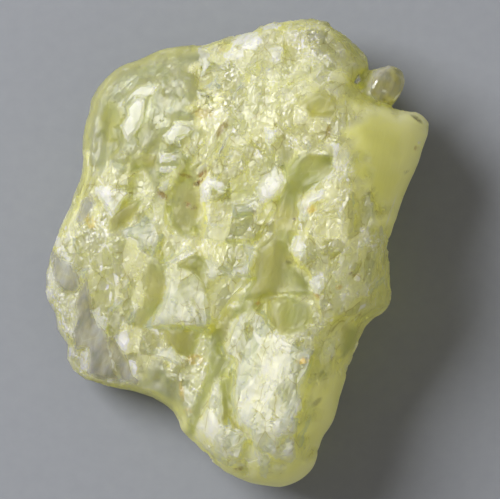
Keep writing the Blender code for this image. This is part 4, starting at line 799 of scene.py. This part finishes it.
def fill(tree, node, inputs):
    """Put numbers and colours into a node's inputs, and link other nodes' results to them."""
    for place, value in inputs.items():
        if isinstance(value, bpy.types.NodeSocket):
            tree.links.new(value, node.inputs[place])
        else:
            node.inputs[place].default_value = value


def node_of(tree, kind, inputs, **settings):
    """A new shader node with its settings and inputs."""
    node = tree.nodes.new(kind)
    for name, value in settings.items():
        setattr(node, name, value)
    fill(tree, node, inputs)
    return node


def math_of(tree, operation, first, second, clamp=False):
    """First and second combined by a mathematical operation."""
    return node_of(tree, "ShaderNodeMath", {0: first, 1: second}, operation=operation,
                   use_clamp=clamp).outputs[0]


def product(tree, first, *others):
    """Numbers multiplied together."""
    for other in others:
        first = math_of(tree, "MULTIPLY", first, other)
    return first


def greatest(tree, first, *others):
    """The greatest of several numbers."""
    for other in others:
        first = math_of(tree, "MAXIMUM", first, other)
    return first


def noise(tree, where, scale, detail):
    """Cloudy noise, from 0 to 1; the scale is per metre."""
    return node_of(tree, "ShaderNodeTexNoise", {
        "Vector": where, "Scale": scale, "Detail": detail, "Roughness": 0.55}).outputs["Fac"]


def spread(tree, value, low, high, to_low=0.0, to_high=1.0):
    """A value's range mapped to another range."""
    return node_of(tree, "ShaderNodeMapRange", {
        "Value": value, "From Min": low, "From Max": high, "To Min": to_low,
        "To Max": to_high}).outputs["Result"]


def blend_value(tree, factor, first, second):
    """A number that goes from first to second as the factor goes from 0 to 1."""
    return node_of(tree, "ShaderNodeMix", {0: factor, 2: first, 3: second},
                   data_type="FLOAT").outputs[0]


def blend_colour(tree, factor, first, second):
    """A colour that goes from first to second as the factor goes from 0 to 1."""
    first, second = ((*end, 1.0) if isinstance(end, tuple) else end for end in (first, second))
    return node_of(tree, "ShaderNodeMix", {0: factor, 6: first, 7: second},
                   data_type="RGBA").outputs[2]


def object_places(tree):
    """Places in the object's own metres."""
    return node_of(tree, "ShaderNodeTexCoord", {}).outputs["Object"]


def along_grain(tree, where, length):
    """Places squeezed so that a pattern on them comes out this much longer along the grain."""
    return node_of(tree, "ShaderNodeMapping", {
        "Vector": where, "Rotation": (0.0, 0.0, math.radians(GRAIN)),
        "Scale": (length, 1.0, 1.0)}, vector_type="TEXTURE").outputs["Vector"]


def veils(tree, where, scale, detail, length=2.8):
    """Cloudy noise drawn out along the grain of the stone."""
    return noise(tree, along_grain(tree, where, length), scale, detail)


def flakes(tree, where, scale, bend):
    """Broken flakes along the grain: two chance values per flake, and its border's distance."""
    wave = node_of(tree, "ShaderNodeTexNoise",
                   {"Vector": where, "Scale": scale * 0.9, "Detail": 1.0})
    bent = node_of(tree, "ShaderNodeVectorMath",
                   {0: wave.outputs["Color"], 1: (bend, bend, bend), 2: where},
                   operation="MULTIPLY_ADD")
    inputs = {"Vector": along_grain(tree, bent.outputs[0], 1.7), "Scale": scale}
    cells = node_of(tree, "ShaderNodeTexVoronoi", inputs)
    borders = node_of(tree, "ShaderNodeTexVoronoi", inputs, feature="DISTANCE_TO_EDGE")
    chances = node_of(tree, "ShaderNodeSeparateColor", {"Color": cells.outputs["Color"]})
    return chances.outputs[0], chances.outputs[1], borders.outputs["Distance"]


def ragged(tree, share, rough):
    """A soft border turned into a crisp uneven one."""
    moved = math_of(tree, "ADD", share, spread(tree, rough, *RANGES["ragged"]))
    return spread(tree, moved, *RANGES["crisp"])


def layered(tree, blend, value, layers):
    """A value with others laid over it in turn, each by its share."""
    for share, over in layers:
        value = blend(tree, share, value, over)
    return value


def crystal_patterns(tree):
    """The marks kept on the mesh, and the patterns that the looks are made from."""
    on = SimpleNamespace(**{
        name: node_of(tree, "ShaderNodeAttribute", {}, attribute_name=name).outputs["Fac"]
        for name in MARKS})
    where = object_places(tree)
    on.grain = noise(tree, where, GRAIN_SCALE, 2.0)
    on.patch = spread(tree, noise(tree, where, PATCH_SCALE, 2.0), *RANGES["patch"])
    on.mottle = spread(tree, noise(tree, where, MOTTLE_SCALE, 2.0), *RANGES["mottle"])
    on.veil = veils(tree, where, VEIL_SCALE, 4.0)
    on.streak = veils(tree, where, STREAK_SCALE, 1.0, 6.0)
    on.teeth = veils(tree, where, TEETH_SCALE, 2.0, 1.8)
    on.big, _, on.big_border = flakes(tree, where, **BIG_FLAKES)
    on.small, on.small_lift, on.small_border = flakes(tree, where, **SMALL_FLAKES)

    # Where the flakes show: not on the smooth ground, faintly in the hollows and windows
    calm = greatest(tree, on.satin, product(tree, on.deep, CALM["deep"]),
                    product(tree, on.clear, CALM["clear"]),
                    product(tree, on.quiet, CALM["quiet"]), on.nub)
    on.broken = math_of(tree, "SUBTRACT", 1.0, calm, clamp=True)

    # Frost and painted glare on the plates, thinner here and there and along the streaks
    on.plate = ragged(tree, on.frost, on.teeth)
    on.off_plate = spread(tree, on.plate, *RANGES["on_plate"])
    on.bright = ragged(tree, on.bright, on.teeth)
    on.frost = product(tree, on.plate,
                          spread(tree, on.streak, *RANGES["thin_streak"]),
                          spread(tree, on.veil, *RANGES["thin_veil"]),
                          spread(tree, on.patch, *RANGES["thin_patch"]))

    # Painted glints, partly white frost specks: small flakes where they crowd, rims of big
    # flakes, sugary grains, and the painted highlights
    crowd = spread(tree, noise(tree, where, CROWD_SCALE, 2.0), *RANGES["crowd"])
    chance = math_of(tree, "ADD", product(tree, crowd, 0.25), on.small)
    rim = product(tree, spread(tree, on.big_border, *RANGES["rim"]),
                  spread(tree, on.veil, *RANGES["rim_veil"]))
    fleck_glint = greatest(tree, spread(tree, chance, *RANGES["fleck_glint"]), rim)
    sugar = spread(tree, noise(tree, where, SUGAR_SCALE, 2.0), *RANGES["sugar"])
    fleck_glint = greatest(tree, product(tree, fleck_glint, on.broken), product(tree, on.fine, sugar))
    on.glint = greatest(tree, product(tree, fleck_glint, on.off_plate), on.gleam)

    # Cracks along some flakes, and broken-up stains and inclusions
    on.crack = product(tree, spread(tree, on.big_border, *RANGES["crack"]),
                          spread(tree, on.veil, *RANGES["crack_veil"]), on.broken)
    on.rust = product(tree, on.stain, spread(tree, on.teeth, *RANGES["rust"]))
    on.dark = product(tree, on.dark, spread(tree, on.teeth, *RANGES["dark"]))
    return on


def crystal_milk(tree, on):
    """How much of the light the veils, frost and painted glare, painted glints, stains and
    inclusions turn back.
    """
    flaked = product(tree, on.broken, spread(tree, on.big, *MILK_PER_FLAKE))
    milk = math_of(tree, "ADD", spread(tree, on.veil, *MILK["body"]), flaked)
    milk = layered(tree, blend_value, milk, (
        (on.quiet, spread(tree, on.veil, *MILK["quiet"])),
        # Flank and rim turn back much light, partly as painted glow
        (on.satin, spread(tree, on.patch, *MILK["satin"])),
        (on.deep, spread(tree, on.veil, *MILK["deep"])),
    ))
    milk = math_of(tree, "ADD", milk, product(tree, on.edge, MILK_AT_EDGE))
    plate = spread(tree, on.big, *MILK["frost"])
    milk = layered(tree, blend_value, milk, (
        (on.clear, spread(tree, on.veil, *MILK["clear"])),
        (on.nub, spread(tree, on.veil, *MILK["nub"])),
        # Plates, partly real frost and partly painted glare, turn back more light
        (on.frost, blend_value(tree, on.bright, plate, MILK["bright"])),
        # Painted glints and highlights turn back most of the light
        (on.glint, MILK["glint"]),
    ))
    return greatest(tree, milk, product(tree, on.rust, MILK["rust"]),
                    product(tree, on.dark, MILK["dark"]))


def crystal_colour(tree, on):
    """The colour of each kind of ground, laid over one another."""
    small = blend_colour(tree, on.small, *COLOURS["small_flakes"])
    tone = blend_colour(tree, on.big, small, COLOURS["big_flakes"])
    body = blend_colour(tree, on.patch, *COLOURS["body"])
    return layered(tree, blend_colour, body, (
        (product(tree, on.mottle, COVER["mottle"]), COLOURS["mottle"]),
        (product(tree, on.broken, COVER["flakes"]), tone),
        (product(tree, on.quiet, COVER["quiet"]),
         blend_colour(tree, on.mottle, *COLOURS["quiet"])),
        (product(tree, on.edge, COVER["edge"]), COLOURS["edge"]),
        # Flank and rim, near-white partly by painted glow
        (on.satin, blend_colour(tree, on.patch, *COLOURS["satin"])),
        # Sunk bands, darker partly by painted shade in the hollows
        (on.deep, blend_colour(tree, on.patch, *COLOURS["deep"])),
        (product(tree, on.beige, COVER["beige"]), COLOURS["beige"]),
        (on.clear, blend_colour(tree, on.mottle, *COLOURS["clear"])),
        (on.nub, blend_colour(tree, on.mottle, *COLOURS["nub"])),
        # Pale plates, partly real frost and partly painted glare
        (on.frost, blend_colour(tree, on.big, *COLOURS["frost"])),
        (product(tree, on.frost, on.bright),
         blend_colour(tree, on.small, *COLOURS["bright"])),
        # Painted glints and highlights in near-white
        (on.glint, COLOURS["glint"]),
        (on.crack, COLOURS["crack"]),
        (on.rust, blend_colour(tree, on.brown, *COLOURS["rust"])),
        (on.dark, COLOURS["dark"]),
    ))


def crystal_roughness(tree, on):
    """Satin on the broken ground, duller in hollows and frost, glossy on the windows."""
    return layered(tree, blend_value, spread(tree, on.grain, *ROUGHNESS["body"]), (
        (on.satin, ROUGHNESS["satin"]),
        (on.deep, ROUGHNESS["deep"]),
        (on.frost, spread(tree, on.streak, *ROUGHNESS["frost"])),
        (greatest(tree, on.clear, on.nub), ROUGHNESS["glossy"]),
    ))


def crystal_bump(tree, on):
    """Tiny flakes with flat sides, and streaks, finer than the mesh shows."""
    rise = math_of(tree, "SUBTRACT", on.small_lift, 0.45)
    height = product(tree, on.small_border, rise, 1.0 / SMALL_FLAKES["scale"],
                     on.off_plate, on.broken)
    height = math_of(tree, "ADD", height, product(tree, on.streak, STREAK_HEIGHT))
    return node_of(tree, "ShaderNodeBump", {
        "Height": height, "Strength": 1.0, "Distance": 1.0}).outputs["Normal"]


def new_material(name):
    """A new material, its node tree and its shader."""
    material = bpy.data.materials.new(name)
    material.use_nodes = True
    return material, material.node_tree, material.node_tree.nodes["Principled BSDF"]


def crystal_material():
    """Clear yellow-green beryl: frosted plates with painted glare, olive hollows with painted
    shade, a flank with painted glow, painted glints, glossy windows, iron stains.
    """
    material, tree, shader = new_material("heliodor")
    on = crystal_patterns(tree)
    fill(tree, shader, {
        "Base Color": crystal_colour(tree, on),
        "Transmission Weight": math_of(tree, "SUBTRACT", 1.0, crystal_milk(tree, on)),
        "Roughness": crystal_roughness(tree, on),
        "Normal": crystal_bump(tree, on),
        "IOR": INDEX,
        "Subsurface Weight": 1.0,
        "Subsurface Radius": SPREAD_SHARES,
        "Subsurface Scale": SPREAD_REACH,
    })
    body = node_of(tree, "ShaderNodeVolumeAbsorption",
                   {"Color": BODY_COLOUR, "Density": BODY_DENSITY})
    fill(tree, tree.nodes["Material Output"], {"Volume": body.outputs["Volume"]})
    return material


def floor_material():
    """Pale grey matt paper."""
    material, tree, shader = new_material("pale_floor")
    cloud = noise(tree, object_places(tree), FLOOR_SCALE, 4.0)
    fill(tree, shader, {"Base Color": blend_colour(tree, cloud, *FLOOR_TONES),
                        "Roughness": 0.9, "Specular IOR Level": 0.2})
    return material


def set_stage():
    """A pale level floor under the stone."""
    shape = bmesh.new()
    bmesh.ops.create_grid(shape, x_segments=1, y_segments=1, size=0.6)
    mesh = bpy.data.meshes.new("floor")
    shape.to_mesh(mesh)
    shape.free()
    floor = bpy.data.objects.new("floor", mesh)
    floor.location = (0.0, 0.0, -FLOOR_GAP)
    bpy.context.scene.collection.objects.link(floor)
    mesh.materials.append(floor_material())


def aim(thing, place, target):
    """Put a thing at a place, turned so that its -Z axis points at the target."""
    thing.location = place
    thing.rotation_euler = (Vector(target) - Vector(place)).to_track_quat("-Z", "Y").to_euler()


def hang_lamp(name, azimuth, elevation, size, power):
    """One square soft lamp, in degrees round and above the stone, turned towards it."""
    lamp = bpy.data.lights.new(name, "AREA")
    lamp.shape = "SQUARE"
    lamp.size = size
    lamp.energy = power
    lamp.color = LAMP_COLOUR
    holder = bpy.data.objects.new(name, lamp)
    holder.visible_camera = False
    bpy.context.scene.collection.objects.link(holder)
    turn, rise = math.radians(azimuth), math.radians(elevation)
    away = Vector((math.cos(turn) * math.cos(rise), math.sin(turn) * math.cos(rise),
                   math.sin(rise)))
    aim(holder, away * LAMP_DISTANCE, (0.0, 0.0, 0.008))


def light_scene():
    """A soft lamp from the upper left, a weak wide one low on the right, an even pale room."""
    hang_lamp("soft_lamp", KEY_AZIMUTH, KEY_ELEVATION, KEY_SIZE, KEY_POWER)
    hang_lamp("side_lamp", SIDE_AZIMUTH, SIDE_ELEVATION, SIDE_SIZE, SIDE_POWER)
    world = bpy.data.worlds.new("pale_room")
    world.use_nodes = True
    fill(world.node_tree, world.node_tree.nodes["Background"],
         {"Color": FILL_COLOUR, "Strength": FILL_STRENGTH})
    bpy.context.scene.world = world


def set_camera():
    """A long lens straight above the stone, +Y up in the picture."""
    scene = bpy.context.scene
    camera = bpy.data.cameras.new("camera")
    camera.lens = CAMERA_LENS
    camera.sensor_width = 36.0
    holder = bpy.data.objects.new("camera", camera)
    scene.collection.objects.link(holder)
    distance = VIEW_WIDTH * CAMERA_LENS / camera.sensor_width
    holder.location = Vector(CAMERA_AIM) + Vector((0.0, 0.0, distance))
    camera.clip_start = 0.01
    camera.clip_end = 10.0
    scene.camera = holder
    scene.view_settings.view_transform = "Standard"
    scene.cycles.max_bounces = 8
    scene.cycles.transmission_bounces = 8
    scene.cycles.glossy_bounces = 4
    scene.cycles.diffuse_bounces = 3
    scene.cycles.sample_clamp_indirect = 6.0


def main():
    """Dress the stone, set the stage and light it."""
    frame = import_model()
    stone = dress(frame["nodes"]["heliodor_crystal"])
    stone.data.materials.append(crystal_material())
    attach(stone, "root")
    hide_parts("heliodor_crystal")
    set_stage()
    light_scene()
    set_camera()
    print("triangles", len(stone.data.polygons))


main()
